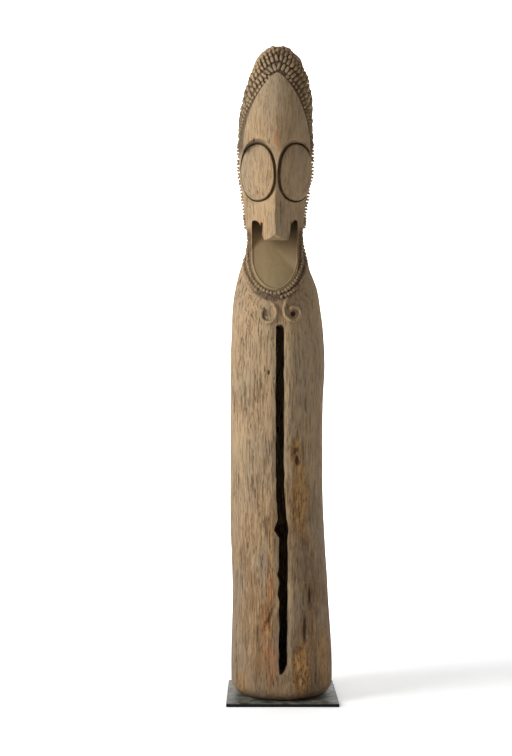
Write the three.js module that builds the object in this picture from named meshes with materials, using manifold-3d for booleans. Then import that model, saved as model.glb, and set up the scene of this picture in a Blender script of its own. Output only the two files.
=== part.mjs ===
// Standing slit drum: one carved log with an ancestor's head, on a flat steel plate.
// Millimetres, +Z up. The face and the slit look along -Y, and +X is the viewer's right.
// The origin is the middle of the plate's underside.

import * as THREE from 'three';
import { mergeVertices } from 'three/addons/utils/BufferGeometryUtils.js';
import Module from 'manifold-3d';

// Driving dimensions

const LOG_HEIGHT = 2285;
const WALL = 42;
const SLIT_WIDTH = 29;
const SLIT_ABOVE_FOOT = 96;
const SLIT_BELOW_SPIRALS = 40;
const CHAMBER_PAST_SLIT = 22;
const FOOT_ROUNDING = 48;
const NOSE_SLOT_HEIGHT = 20;
const PLATE_THICKNESS = 12;
const PLATE_MARGIN_SIDE = 14;
const PLATE_MARGIN_FRONT = 15;
const REST_GAP = 0.3;

// Facets of the turned and lofted surfaces

const LOG_SIDES = 32;
const CHAMBER_SIDES = 20;
const EYE_SIDES = 18;

// One thousandth of the log's height: the carving keeps its proportions in these shares

const SHARE = LOG_HEIGHT / 1000;
const FOOT_Z = PLATE_THICKNESS + REST_GAP;

// The log's oval sections, as shares: level above the foot, reach to the left, right, front and
// back of the axis, and how much of a sharp keel the front has (0 is a plain oval).

const SECTIONS = [
  { level: 0, left: 75.3, right: 83.4, front: 89.5, back: 89.5, keel: 0 },
  { level: 40, left: 75.3, right: 83.4, front: 89.5, back: 89.5, keel: 0 },
  { level: 153, left: 73.4, right: 78.3, front: 86.7, back: 87.5, keel: 0 },
  { level: 305, left: 76.7, right: 69.6, front: 82.3, back: 82.5, keel: 0 },
  { level: 456, left: 76.9, right: 68.9, front: 84.2, back: 76.8, keel: 0 },
  { level: 514, left: 77.3, right: 71, front: 85.5, back: 74, keel: 0 },
  { level: 573, left: 75, right: 67.6, front: 82.3, back: 70.5, keel: 0 },
  { level: 607, left: 73.2, right: 63.6, front: 78.3, back: 68.9, keel: 0.05 },
  { level: 632.5, left: 69.8, right: 59.8, front: 69.5, back: 67.4, keel: 0.12 },
  { level: 660.5, left: 62.8, right: 50.2, front: 71.5, back: 65.2, keel: 0.3 },
  { level: 689, left: 52.9, right: 41.8, front: 74.5, back: 59.1, keel: 0.5 },
  { level: 710, left: 50, right: 37.1, front: 78.8, back: 49.5, keel: 0.7 },
  { level: 731, left: 52.1, right: 38, front: 80.5, back: 47.3, keel: 0.75 },
  { level: 774, left: 56.5, right: 43.1, front: 74.4, back: 45.3, keel: 0.5 },
  { level: 793, left: 59.2, right: 46.2, front: 79, back: 45.7, keel: 0.38 },
  { level: 816.5, left: 62.4, right: 50.1, front: 84, back: 46.6, keel: 0.34 },
  { level: 838.5, left: 62.7, right: 50.7, front: 88.2, back: 45.7, keel: 0.26 },
  { level: 864, left: 61.9, right: 50.1, front: 89.3, back: 43.1, keel: 0.16 },
  { level: 893, left: 60.1, right: 49, front: 88.8, back: 38.5, keel: 0.1 },
  { level: 921.5, left: 54.8, right: 48.4, front: 86.4, back: 32.2, keel: 0.08 },
  { level: 941.5, left: 50.4, right: 45.5, front: 83.8, back: 26.7, keel: 0.08 },
  { level: 957.5, left: 45.8, right: 43.1, front: 81.8, back: 18.8, keel: 0.08 },
  { level: 971, left: 42, right: 38.2, front: 81, back: 12.7, keel: 0.06 },
  { level: 984, left: 36.8, right: 33.4, front: 79.2, back: 2.6, keel: 0.03 },
  { level: 992.5, left: 29.3, right: 23.2, front: 74.8, back: -9.6, keel: 0 },
  { level: 998.7, left: 21.5, right: 17.9, front: 65.6, back: -27.1, keel: 0 },
];

// The loft has a ring at every section above the rounded foot, one more just above the foot and one
// in the cheeks

const FOOT_STEPS = 4;
const FOOT_CLEAR = 1.2;
const FOOT_RING = 60;
const CHEEK_RING = 752;
const LOFT_LEVELS = [FOOT_RING, CHEEK_RING, ...SECTIONS.slice(2).map((section) => section.level)]
  .sort((a, b) => a - b);

// The head's parts, in the same shares

const HEAD_AXIS = -4.3;
const NOSE_AXIS = -5.3;
const CHIN_AXIS = -7.3;
const CHIN_LEVEL = 700;
const CHIN_DEPTH = 28.2;
const CHIN_LEAN = 0.535;
const CHIN_CUT_BOTTOM = 600;
const CHIN_HALF_WIDTH = 34.4;
const CHIN_CUT_PAST = 1.2;
const CHEEK_LEVEL = 726.5;
const CHEEK_DEPTH = 65.2;
const CHEEK_SLOPE = 0.455;
const SPIRAL_LEVEL = 589.5;

// Cutting blocks reach this far, well clear of the log on every side

const BEYOND_FRONT = 130;

const wasm = await Module();
wasm.setup();

// Height above the ground plane of a level given in shares

function level(shares) {
  return FOOT_Z + shares * SHARE;
}

// Closed three.js geometry to solid, and back

function solidFrom(geometry) {
  const bare = geometry.index ? geometry.toNonIndexed() : geometry.clone();
  bare.deleteAttribute('normal');
  bare.deleteAttribute('uv');
  const merged = mergeVertices(bare, 1e-4);
  return new wasm.Manifold(new wasm.Mesh({
    numProp: 3,
    vertProperties: new Float32Array(merged.attributes.position.array),
    triVerts: new Uint32Array(merged.index.array),
  }));
}

function geometryFrom(solid) {
  const mesh = solid.getMesh();
  const geometry = new THREE.BufferGeometry();
  geometry.setAttribute('position', new THREE.BufferAttribute(new Float32Array(mesh.vertProperties), 3));
  geometry.setIndex(new THREE.BufferAttribute(new Uint32Array(mesh.triVerts), 1));
  geometry.computeVertexNormals();
  return geometry;
}

// Outer form of the log

function limitedSlope(index, key) {
  const here = SECTIONS[index];
  const before = SECTIONS[index - 1];
  const after = SECTIONS[index + 1];
  if (!before || !after) return 0;
  const below = (here[key] - before[key]) / (here.level - before.level);
  const above = (after[key] - here[key]) / (after.level - here.level);
  return below * above > 0 ? (2 * below * above) / (below + above) : 0;
}

// One value of the section at a level: a cubic between two stations whose slopes never overshoot

function easedValue(shares, key) {
  const top = SECTIONS.length - 1;
  const found = SECTIONS.findIndex((section) => section.level > shares);
  const upper = found === -1 ? top : Math.max(found, 1);
  const low = SECTIONS[upper - 1];
  const high = SECTIONS[upper];
  const span = high.level - low.level;
  const t = Math.min((shares - low.level) / span, 1);
  const rise = t * t * (3 - 2 * t);
  const leave = t * (1 - t) * (1 - t) * span * limitedSlope(upper - 1, key);
  const arrive = t * t * (t - 1) * span * limitedSlope(upper, key);
  return low[key] * (1 - rise) + high[key] * rise + leave + arrive;
}

function sectionAt(shares, grow = 0) {
  const left = easedValue(shares, 'left') * SHARE;
  const right = easedValue(shares, 'right') * SHARE;
  const front = easedValue(shares, 'front') * SHARE;
  const back = easedValue(shares, 'back') * SHARE;
  return {
    centreX: (right - left) / 2,
    halfWidth: (right + left) / 2 + grow,
    centreY: (back - front) / 2,
    halfDepth: (back + front) / 2 + grow,
    keel: easedValue(shares, 'keel'),
  };
}

// Point of an oval section: turn is 0 at the front and grows towards +X. The front half is a mix
// of an ellipse and a straight-sided keel.

function sectionPoint(section, turn) {
  const across = Math.sin(turn);
  const ahead = Math.cos(turn);
  const keeled = (1 - section.keel) * ahead + section.keel * (1 - Math.abs(across));
  const reach = ahead > 0 ? keeled : ahead;
  return [section.centreX + section.halfWidth * across, section.centreY - section.halfDepth * reach];
}

function surfacePoint(turn, shares, grow = 0) {
  const [x, y] = sectionPoint(sectionAt(shares, grow), turn);
  return new THREE.Vector3(x, y, level(shares));
}

// Depth of the front surface straight behind a point of the front view

function frontDepth(x, z) {
  const section = sectionAt((z - FOOT_Z) / SHARE);
  const across = THREE.MathUtils.clamp((x - section.centreX) / section.halfWidth, -1, 1);
  const bow = Math.sqrt(1 - across * across);
  const reach = (1 - section.keel) * bow + section.keel * (1 - Math.abs(across));
  return section.centreY - section.halfDepth * reach;
}

// The flat chin panel leans forward from under the nose down to the chest

function chinDepth(z) {
  const shares = (z - FOOT_Z) / SHARE;
  return -(CHIN_DEPTH + CHIN_LEAN * (CHIN_LEVEL - shares)) * SHARE;
}

function carvedFront(x, z) {
  const y = Math.max(frontDepth(x, z), chinDepth(z));
  return new THREE.Vector3(x, y, z);
}

// Closed surface through rings of equal length, with a middle point at each end

function loft(rings) {
  const count = rings[0].length;
  const points = rings.flat();
  const middleOf = (ring) => ring.reduce((sum, p) => sum.add(p), new THREE.Vector3()).divideScalar(count);
  const bottom = points.push(middleOf(rings[0])) - 1;
  const top = points.push(middleOf(rings.at(-1))) - 1;
  const faces = [];
  const lastRing = (rings.length - 1) * count;
  for (let i = 0; i < count; i += 1) {
    const next = (i + 1) % count;
    faces.push(bottom, next, i, top, lastRing + i, lastRing + next);
    for (let r = 0; r < rings.length - 1; r += 1) {
      const a = r * count;
      faces.push(a + i, a + next, a + count + next, a + i, a + count + next, a + count + i);
    }
  }
  const geometry = new THREE.BufferGeometry().setFromPoints(points);
  geometry.setIndex(faces);
  return geometry;
}

function ringOf(section, z, sides) {
  return Array.from({ length: sides }, (_, i) => {
    const [x, y] = sectionPoint(section, (i / sides) * 2 * Math.PI);
    return new THREE.Vector3(x, y, z);
  });
}

function logForm(grow = 0) {
  const rings = [];
  for (let i = 0; i <= FOOT_STEPS; i += 1) {
    const angle = (i / FOOT_STEPS) * (Math.PI / 2);
    const height = FOOT_ROUNDING * (1 - Math.cos(angle));
    const inset = FOOT_ROUNDING * (1 - Math.sin(angle));
    rings.push(ringOf(sectionAt(height / SHARE, grow - inset), FOOT_Z + height, LOG_SIDES));
  }
  const above = LOFT_LEVELS.filter((shares) => shares * SHARE > FOOT_ROUNDING * FOOT_CLEAR);
  above.forEach((shares) => rings.push(ringOf(sectionAt(shares, grow), level(shares), LOG_SIDES)));
  return solidFrom(loft(rings));
}

// Prism of an outline drawn in the side view (y, z) or the front view (x, z)

function prism(outline, length, basis) {
  const shape = new THREE.Shape(outline.map(([a, b]) => new THREE.Vector2(a, b)));
  const geometry = new THREE.ExtrudeGeometry(shape, { depth: length, bevelEnabled: false, steps: 1 });
  return geometry.applyMatrix4(basis);
}

function sidePrism(outline, fromX, toX) {
  const basis = new THREE.Matrix4().makeBasis(
    new THREE.Vector3(0, 1, 0), new THREE.Vector3(0, 0, 1), new THREE.Vector3(1, 0, 0));
  basis.setPosition(fromX, 0, 0);
  return prism(outline, toX - fromX, basis);
}

function frontPrism(outline, fromY, toY) {
  const basis = new THREE.Matrix4().makeBasis(
    new THREE.Vector3(1, 0, 0), new THREE.Vector3(0, 0, 1), new THREE.Vector3(0, -1, 0));
  basis.setPosition(0, toY, 0);
  return prism(outline, toY - fromY, basis);
}

// Small solid set on the surface: its own axes become along, out and across

function placed(geometry, centre, along, across, out) {
  const basis = new THREE.Matrix4().makeBasis(along, out, across).setPosition(centre);
  return solidFrom(geometry.applyMatrix4(basis));
}

function bead(centre, out, radius) {
  const along = new THREE.Vector3(0, 0, 1).cross(out).normalize();
  const across = new THREE.Vector3().crossVectors(along, out);
  const dome = new THREE.ConeGeometry(radius, radius * BEAD_LENGTH, BEAD_SIDES);
  return placed(dome, centre, along, across, out);
}

// Raised band with sloping sides along a line of points, with their outward directions and heights

function band(points, outs, heights, width) {
  const rings = points.map((point, i) => {
    const before = points[Math.max(i - 1, 0)];
    const after = points[Math.min(i + 1, points.length - 1)];
    const along = after.clone().sub(before).normalize();
    const side = new THREE.Vector3().crossVectors(outs[i], along).normalize();
    const corner = (s, h) => point.clone().addScaledVector(side, s * width).addScaledVector(outs[i], h);
    return [corner(0.5, -BAND_SUNK), corner(BAND_CREST / 2, heights[i]),
      corner(-BAND_CREST / 2, heights[i]), corner(-0.5, -BAND_SUNK)];
  });
  return solidFrom(loft(rings));
}

// Outward direction of the carved front at a point of the front view

function outOfFront(x, z) {
  const step = 2;
  const across = carvedFront(x + step, z).sub(carvedFront(x - step, z));
  const up = carvedFront(x, z + step).sub(carvedFront(x, z - step));
  return across.cross(up).normalize();
}

// Head

// Hair: each row runs from the middle of the crown down behind the eye to the neck. Its points are
// turns from the front in degrees and levels in shares.

const HAIR_ROWS = [
  { width: 24, height: 10, points: [[0, 964], [14, 961], [30, 950], [52, 930], [88, 888], [98.5, 857],
    [104, 819], [108, 779], [113, 717]] },
  { width: 19, height: 10, points: [[0, 978], [14, 975], [33, 965], [60, 942], [101, 888], [110, 845],
    [118, 807], [123, 767], [126, 717]] },
  { width: 15, height: 9, points: [[0, 989], [14, 985.5], [33, 975.5], [66, 951], [110, 890], [119.5, 850],
    [127, 802], [132, 755], [133, 707]] },
];
const CROWN_PITCH = 19;
const SIDE_PITCH = 31;
const BAND_CREST = 0.6;
const BAND_SUNK = 5;
const NOTCH_HEIGHT = 1.5;
const CROWN_TO = 0.6;
const SIDE_FROM = 1.3;
const SMALL_TURN = 0.02;

// A serrated band: the locks are the teeth, and the notches between them stay just above the wood.
// The teeth grow longer as the row turns from the crown to the side.

function hairRow(row, side) {
  const turnOf = (degrees) => THREE.MathUtils.degToRad(degrees) * side;
  const path = new THREE.CatmullRomCurve3(row.points.map(([degrees, shares]) =>
    surfacePoint(turnOf(degrees), shares)));
  const spots = new THREE.CatmullRomCurve3(row.points.map(([degrees, shares]) =>
    new THREE.Vector3(turnOf(degrees), shares, 0)));
  const total = path.getLength();
  const points = [];
  const outs = [];
  const heights = [];
  let travelled = 0;
  while (travelled < total) {
    const spot = spots.getPoint(path.getUtoTmapping(0, travelled));
    const ahead = surfacePoint(spot.x + SMALL_TURN, spot.y).sub(surfacePoint(spot.x - SMALL_TURN, spot.y));
    const up = surfacePoint(spot.x, spot.y + 1).sub(surfacePoint(spot.x, spot.y - 1));
    points.push(surfacePoint(spot.x, spot.y));
    outs.push(ahead.cross(up).normalize());
    heights.push(heights.length % 2 ? NOTCH_HEIGHT : row.height);
    const toSide = THREE.MathUtils.smoothstep(Math.abs(spot.x), CROWN_TO, SIDE_FROM);
    travelled += THREE.MathUtils.lerp(CROWN_PITCH, SIDE_PITCH, toSide) / 2;
  }
  const order = side > 0 ? (list) => list : (list) => list.reverse();
  return band(order(points), order(outs), order(heights), row.width);
}

function hair() {
  return HAIR_ROWS.flatMap((row) => [hairRow(row, 1), hairRow(row, -1)]);
}

// Forehead: a smooth pointed arch that stands proud of the hair

const FOREHEAD_PROUD = 9;
const FOREHEAD_SPRING = 852;
const FOREHEAD_RISE = 101.5;
const FOREHEAD_SKIRT = 46;
const FOREHEAD_HALF_WIDTH = 51.5;
const FOREHEAD_STEPS = 9;
const FOREHEAD_BUNCHING = 1.6;
const FOREHEAD_POINT = 1.7;
const FOREHEAD_FULLNESS = 0.72;
const FOREHEAD_REACH_BACK = 22;
const BROW_ABOVE_SPRING = 10;
const BROW_FRONT = -93.4;
const BROW_FOOT = -82.2;

function forehead() {
  const arch = [];
  for (let i = 0; i <= FOREHEAD_STEPS; i += 1) {
    const t = 1 - (1 - i / FOREHEAD_STEPS) ** FOREHEAD_BUNCHING;
    const half = FOREHEAD_HALF_WIDTH * (1 - t ** FOREHEAD_POINT) ** FOREHEAD_FULLNESS;
    arch.push([half, FOREHEAD_SPRING + t * FOREHEAD_RISE]);
  }
  const right = [[FOREHEAD_HALF_WIDTH, FOREHEAD_SPRING - FOREHEAD_SKIRT], ...arch];
  const left = right.slice(0, -1).reverse().map(([half, shares]) => [-half, shares]);
  const outline = [...right, ...left].map(([x, shares]) => [(HEAD_AXIS + x) * SHARE, level(shares)]);
  return solidFrom(frontPrism(outline, -BEYOND_FRONT * SHARE, -FOREHEAD_REACH_BACK * SHARE));
}

// The panel runs out into the ridge between the eyes along a sloping plane

function browFade() {
  const top = FOREHEAD_SPRING + 2 * FOREHEAD_RISE;
  const front = FOREHEAD_SPRING + BROW_ABOVE_SPRING;
  const foot = FOREHEAD_SPRING - FOREHEAD_SKIRT;
  const outline = [[0, foot], [BROW_FOOT, foot], [BROW_FRONT, front], [-BEYOND_FRONT, front],
    [-BEYOND_FRONT, top], [0, top]].map(([y, shares]) => [y * SHARE, level(shares)]);
  return solidFrom(sidePrism(outline, -BEYOND_FRONT * SHARE, BEYOND_FRONT * SHARE));
}

// Eyes: oval discs set in deep sockets on both sides of the keel. Their planes turn to the side, and
// their walls run straight to the front.

const EYE_OUT = 28.2;
const EYE_LEVEL = 808.5;
const EYE_DEPTH = 54;
const EYE_HALF_WIDTH = 35.6;
const EYE_HALF_HEIGHT = 46.2;
const EYE_GROOVE = 3.6;
const EYE_DISC_SHIFT = 2.3;
const EYE_SQUARENESS = 0.9;
const EYE_GROOVE_DEPTH = 9;
const EYE_YAW = THREE.MathUtils.degToRad(39);
const EYE_TILT = THREE.MathUtils.degToRad(7);

// Profiles of the eye, turned about its middle: part of the radius, and height in shares

const SOCKET_PROFILE = [[0, -EYE_GROOVE_DEPTH], [0.97, -EYE_GROOVE_DEPTH], [1, 60], [0, 60]];
const DISC_SUNK = EYE_GROOVE_DEPTH + 2;
const DISC_PROFILE = [[0, -DISC_SUNK], [0.98, -DISC_SUNK], [1, -1.5], [0.93, 0.6], [0.62, 2.2], [0, 2.8]];

function eyeFrame(side, shift = 0) {
  const out = new THREE.Vector3(Math.sin(EYE_YAW) * side, -Math.cos(EYE_YAW), -Math.tan(EYE_TILT)).normalize();
  const along = new THREE.Vector3(Math.cos(EYE_YAW) * side, Math.sin(EYE_YAW), 0).multiplyScalar(side);
  const across = new THREE.Vector3().crossVectors(along, out).normalize();
  const centre = new THREE.Vector3((HEAD_AXIS + EYE_OUT * side) * SHARE, -EYE_DEPTH * SHARE, level(EYE_LEVEL));
  centre.addScaledVector(along, side * shift * SHARE);
  return { out, along, across, centre };
}

function ovalTurned(profile, side, shift) {
  const { out, along, across, centre } = eyeFrame(side, shift);
  const points = profile.map(([radius, height]) => new THREE.Vector2(radius, height));
  const turned = new THREE.LatheGeometry(points, EYE_SIDES);
  const places = turned.attributes.position;
  const squared = (part) => Math.sign(part) * Math.abs(part) ** EYE_SQUARENESS;
  for (let i = 0; i < places.count; i += 1) {
    const radius = Math.max(Math.hypot(places.getX(i), places.getZ(i)), 1e-9);
    places.setX(i, squared(places.getX(i) / radius) * radius);
    places.setZ(i, squared(places.getZ(i) / radius) * radius);
  }
  const forward = new THREE.Vector3(0, 1 / out.y, 0);
  return { turned, forward, along, across, centre };
}

function eyeSocket(side) {
  const { turned, forward, along, across, centre } = ovalTurned(SOCKET_PROFILE, side, 0);
  turned.scale(EYE_HALF_WIDTH * SHARE, SHARE, EYE_HALF_HEIGHT * SHARE);
  return placed(turned, centre, along, across, forward);
}

function eyeDisc(side) {
  const { turned, forward, along, across, centre } = ovalTurned(DISC_PROFILE, side, EYE_DISC_SHIFT);
  turned.scale((EYE_HALF_WIDTH - EYE_GROOVE) * SHARE, SHARE, (EYE_HALF_HEIGHT - EYE_GROOVE) * SHARE);
  return placed(turned, centre, along, across, forward);
}

// Nose: a keeled bar under the cheeks, joined to the face in front and to the neck behind, with a
// slot cut through from side to side

const NOSE_HALF_WIDTH = 24;
const NOSE_TAPER = 0.76;
const NOSE_TAPER_LEVEL = 728;
const NOSE_TAPER_RUN = 25;
const NOSE_TOP = 776;
const NOSE_BACK = 8;
const NOSE_UNDERSIDE = [[-82, 713], [-73, 706.5], [-64, 704], [-55, 703.3], [-37, 708.5], [-25, 715],
  [-15.3, 723], [NOSE_BACK, 736]];
const NOSE_SLOT_FROM = -50;
const NOSE_SLOT_TO = -22.8;
const SLOT_INTO_CHEEK = 3;
const ARCH_STEPS = 5;
const ARCH_RISE = 7;
const ARCH_BOTTOM = 520;

function cheekLevel(y) {
  return CHEEK_LEVEL + (y + CHEEK_DEPTH) * CHEEK_SLOPE;
}

function noseBar() {
  const outline = [...NOSE_UNDERSIDE, [NOSE_BACK, NOSE_TOP], [-BEYOND_FRONT, NOSE_TOP],
    [-BEYOND_FRONT, NOSE_UNDERSIDE[0][1]]];
  const shares = outline.map(([y, at]) => [y * SHARE, level(at)]);
  const middle = NOSE_AXIS * SHARE;
  const half = NOSE_HALF_WIDTH * SHARE;
  const bar = sidePrism(shares, middle - half, middle + half);
  const places = bar.attributes.position;
  for (let i = 0; i < places.count; i += 1) {
    const below = level(NOSE_TAPER_LEVEL) - places.getZ(i);
    const low = THREE.MathUtils.smoothstep(below, 0, NOSE_TAPER_RUN * SHARE);
    places.setX(i, middle + (places.getX(i) - middle) * THREE.MathUtils.lerp(1, NOSE_TAPER, low));
  }
  return solidFrom(bar);
}

function noseSlot() {
  const slotAt = (y, below) => [y * SHARE, level(cheekLevel(y)) - below];
  const outline = [slotAt(NOSE_SLOT_FROM, -SLOT_INTO_CHEEK), slotAt(NOSE_SLOT_TO, -SLOT_INTO_CHEEK),
    slotAt(NOSE_SLOT_TO, NOSE_SLOT_HEIGHT), slotAt(NOSE_SLOT_FROM, NOSE_SLOT_HEIGHT)];
  return solidFrom(sidePrism(outline, -BEYOND_FRONT * SHARE, BEYOND_FRONT * SHARE));
}

// Front outline of the hollow under the cheeks: a round arch on each side of the nose, slanting up
// to the back with the cheeks' underside

function cheekArches() {
  const outer = CHIN_HALF_WIDTH + CHIN_CUT_PAST;
  const arch = (inner, edge) => Array.from({ length: ARCH_STEPS + 1 }, (_, i) => {
    const angle = (i / ARCH_STEPS) * Math.PI;
    const middle = (inner + edge) / 2;
    return [middle + ((inner - edge) / 2) * Math.cos(angle), CHEEK_LEVEL - ARCH_RISE * (1 - Math.sin(angle))];
  });
  const leftNose = NOSE_AXIS - NOSE_HALF_WIDTH;
  const rightNose = NOSE_AXIS + NOSE_HALF_WIDTH;
  const outline = [[CHIN_AXIS - outer, ARCH_BOTTOM], [CHIN_AXIS + outer, ARCH_BOTTOM],
    ...arch(rightNose, CHIN_AXIS + outer).reverse(), [rightNose, NOSE_TOP], [leftNose, NOSE_TOP],
    ...arch(CHIN_AXIS - outer, leftNose).reverse()];
  const geometry = frontPrism(outline.map(([x, at]) => [x * SHARE, at * SHARE]), -BEYOND_FRONT * SHARE, 0);
  const places = geometry.attributes.position;
  for (let i = 0; i < places.count; i += 1) {
    const climb = (places.getY(i) + CHEEK_DEPTH * SHARE) * CHEEK_SLOPE;
    places.setZ(i, FOOT_Z + places.getZ(i) + climb);
  }
  return solidFrom(geometry);
}

// Everything in front of the leaning chin panel and under the cheeks is cut away, between the
// straight sides of the panel's border

function underCheeks() {
  const chinAt = (shares) => [chinDepth(level(shares)), level(shares)];
  const meet = (CHEEK_LEVEL + CHEEK_DEPTH * CHEEK_SLOPE - (CHIN_DEPTH + CHIN_LEAN * CHIN_LEVEL) * CHEEK_SLOPE)
    / (1 - CHIN_LEAN * CHEEK_SLOPE);
  const front = -BEYOND_FRONT;
  const outline = [chinAt(CHIN_CUT_BOTTOM), chinAt(meet), [front * SHARE, level(cheekLevel(front))],
    [front * SHARE, level(CHIN_CUT_BOTTOM)]];
  const half = (CHIN_HALF_WIDTH + CHIN_CUT_PAST) * SHARE;
  const block = solidFrom(sidePrism(outline, CHIN_AXIS * SHARE - half, CHIN_AXIS * SHARE + half));
  return block.intersect(cheekArches());
}

// Chin and chest

const CHIN_SPRING = 676;
const CHIN_BOTTOM = 628;
const CHIN_LEG_TOP = 727;
const CHIN_LEG_STEPS = 3;
const CHIN_STEP_DEGREES = 15;
const RIM_WIDTH = 6;
const RIM_PROUD = 4;
const CHIN_SQUARENESS = 1.15;
const BEAD_SIDES = 5;
const BEAD_RADIUS = 8;
const BEAD_LENGTH = 1.5;
const BEAD_PITCH = 15;
const BEAD_ROWS = [
  { offset: 17, from: -72, to: 80 },
  { offset: 36, from: 12, to: 66 },
  { offset: 33, from: -62, to: -34 },
];

// Point of the U-shaped border: angle 0 is the bottom, and 90 degrees where the straight sides start

function chinBorder(degrees, offset = 0) {
  const angle = THREE.MathUtils.degToRad(degrees);
  const half = CHIN_HALF_WIDTH * SHARE + offset;
  const drop = (CHIN_SPRING - CHIN_BOTTOM) * SHARE + offset;
  const x = CHIN_AXIS * SHARE + half * Math.sin(angle);
  return [x, level(CHIN_SPRING) - drop * Math.cos(angle) ** CHIN_SQUARENESS];
}

function bandOnFront(places, width, proud) {
  const points = places.map(([x, z]) => carvedFront(x, z));
  const outs = places.map(([x, z]) => outOfFront(x, z));
  return band(points, outs, points.map(() => proud), width);
}

function chinRim() {
  const places = [];
  const side = (x) => CHIN_AXIS * SHARE + x * CHIN_HALF_WIDTH * SHARE;
  for (let i = 0; i < CHIN_LEG_STEPS; i += 1) {
    places.push([side(-1), level(THREE.MathUtils.lerp(CHIN_LEG_TOP, CHIN_SPRING, i / CHIN_LEG_STEPS))]);
  }
  for (let degrees = -90; degrees <= 90; degrees += CHIN_STEP_DEGREES) places.push(chinBorder(degrees));
  for (let i = CHIN_LEG_STEPS - 1; i >= 0; i -= 1) {
    places.push([side(1), level(THREE.MathUtils.lerp(CHIN_LEG_TOP, CHIN_SPRING, i / CHIN_LEG_STEPS))]);
  }
  const out = new THREE.Vector3(0, -1, -CHIN_LEAN).normalize();
  const points = places.map(([x, z]) => new THREE.Vector3(x, chinDepth(z), z));
  return band(points, points.map(() => out), points.map(() => RIM_PROUD), RIM_WIDTH);
}

function beadRow({ offset, from, to }) {
  const beads = [];
  const arc = THREE.MathUtils.radToDeg(BEAD_PITCH / (CHIN_HALF_WIDTH * SHARE + offset));
  for (let degrees = from; degrees <= to; degrees += arc) {
    const [x, z] = chinBorder(degrees, offset);
    beads.push(bead(carvedFront(x, z), outOfFront(x, z), BEAD_RADIUS));
  }
  return beads;
}

// Spirals: a band that starts near the middle of the chest, runs down, out and up, and curls in

const SPIRALS = [
  { x: -18.6, side: -1, radius: 13.4, stretch: 1.25, start: 72, sweep: 304, shrink: 0.45, lead: 0 },
  { x: 19.9, side: 1, radius: 12.4, stretch: 1, start: 76, sweep: 400, shrink: 0.37, lead: 14 },
];
const SPIRAL_BAND = 12;
const SPIRAL_PROUD = 7;
const SPIRAL_STEPS = 18;
const SPIRAL_LEAD_POWER = 12;

function spiral({ x, side, radius, stretch, start, sweep, shrink, lead }) {
  const places = [];
  for (let i = 0; i <= SPIRAL_STEPS; i += 1) {
    const t = i / SPIRAL_STEPS;
    const angle = THREE.MathUtils.degToRad(start - sweep * t);
    const reach = radius * (1 - shrink * t * t) + lead * (1 - t) ** SPIRAL_LEAD_POWER;
    const across = -side * Math.cos(angle) * reach;
    places.push([(x + across) * SHARE, level(SPIRAL_LEVEL + Math.sin(angle) * reach * stretch)]);
  }
  return places;
}

function spiralBands() {
  return SPIRALS.map((form) => {
    const places = spiral(form);
    return bandOnFront(form.side < 0 ? places : places.reverse(), SPIRAL_BAND, SPIRAL_PROUD);
  });
}

// Sounding slit and the chamber behind it

const SLIT_BOTTOM_Z = FOOT_Z + SLIT_ABOVE_FOOT;
const SLIT_TOP_Z = level(SPIRAL_LEVEL) - SLIT_BELOW_SPIRALS;
const SLIT_STATIONS = [0, 0.008, 0.03, 0.1, 0.2, 0.3, 0.36, 0.42, 0.48, 0.55, 0.75, 0.987, 1];
const SLIT_END_TOP = { width: 0.6, opening: 30 };
const SLIT_TIP = 0.03;
const SLIT_TIP_WIDTH = 0.2;
const SLIT_MIDDLE = 2.2;
const SLIT_WANDER = 2.65;
const SLIT_TURN_LEVEL = 295;
const SLIT_TURN_RUN = 46;
const SPLINTER = { level: 260.5, rise: 16, drop: 12, reach: 8 };
const SPLINTER_PAST_EDGE = 2;
const SPLINTER_BACK = 60;
const GOUGES = [
  { x: 25.5, level: 372.5, width: 7, height: 20, depth: 6 },
  { x: -17.3, level: 127, width: 6, height: 24, depth: 5 },
];
const GOUGE_SIDES = [8, 6];
const CHAMBER_STEPS = 12;
const CHAMBER_END = { width: 0.55, opening: 6 };

function slitMiddle(z) {
  const shares = (z - FOOT_Z) / SHARE;
  return (SLIT_MIDDLE - SLIT_WANDER * Math.tanh((shares - SLIT_TURN_LEVEL) / SLIT_TURN_RUN)) * SHARE;
}

function slitCut() {
  const right = [];
  const left = [];
  for (let i = 0; i < SLIT_STATIONS.length; i += 1) {
    const t = SLIT_STATIONS[i];
    const z = THREE.MathUtils.lerp(SLIT_BOTTOM_Z, SLIT_TOP_Z, t);
    const ends = Math.min(1, SLIT_END_TOP.width + (1 - t) * SLIT_END_TOP.opening);
    const tip = SLIT_TIP_WIDTH + (1 - SLIT_TIP_WIDTH) * Math.sqrt(Math.min(1, t / SLIT_TIP));
    const leftEdge = slitMiddle(z) - (SLIT_WIDTH / 2) * ends;
    right.push([leftEdge + SLIT_WIDTH * ends * tip, z]);
    left.push([leftEdge, z]);
  }
  return solidFrom(frontPrism([...right, ...left.reverse()], -BEYOND_FRONT * SHARE, 0));
}

function splinterCut() {
  const at = level(SPLINTER.level);
  const edge = slitMiddle(at) - SLIT_WIDTH / 2;
  const outline = [[edge + SPLINTER_PAST_EDGE, at + SPLINTER.rise * SHARE], [edge - SPLINTER.reach * SHARE, at],
    [edge + SPLINTER_PAST_EDGE, at - SPLINTER.drop * SHARE]];
  return solidFrom(frontPrism(outline, -BEYOND_FRONT * SHARE, -SPLINTER_BACK * SHARE));
}

function gougeCut({ x, level: at, width, height, depth }) {
  const hollow = new THREE.SphereGeometry(1, ...GOUGE_SIDES);
  hollow.scale(width * SHARE, depth * SHARE, height * SHARE);
  hollow.translate(x * SHARE, frontDepth(x * SHARE, level(at)), level(at));
  return solidFrom(hollow);
}

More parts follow.
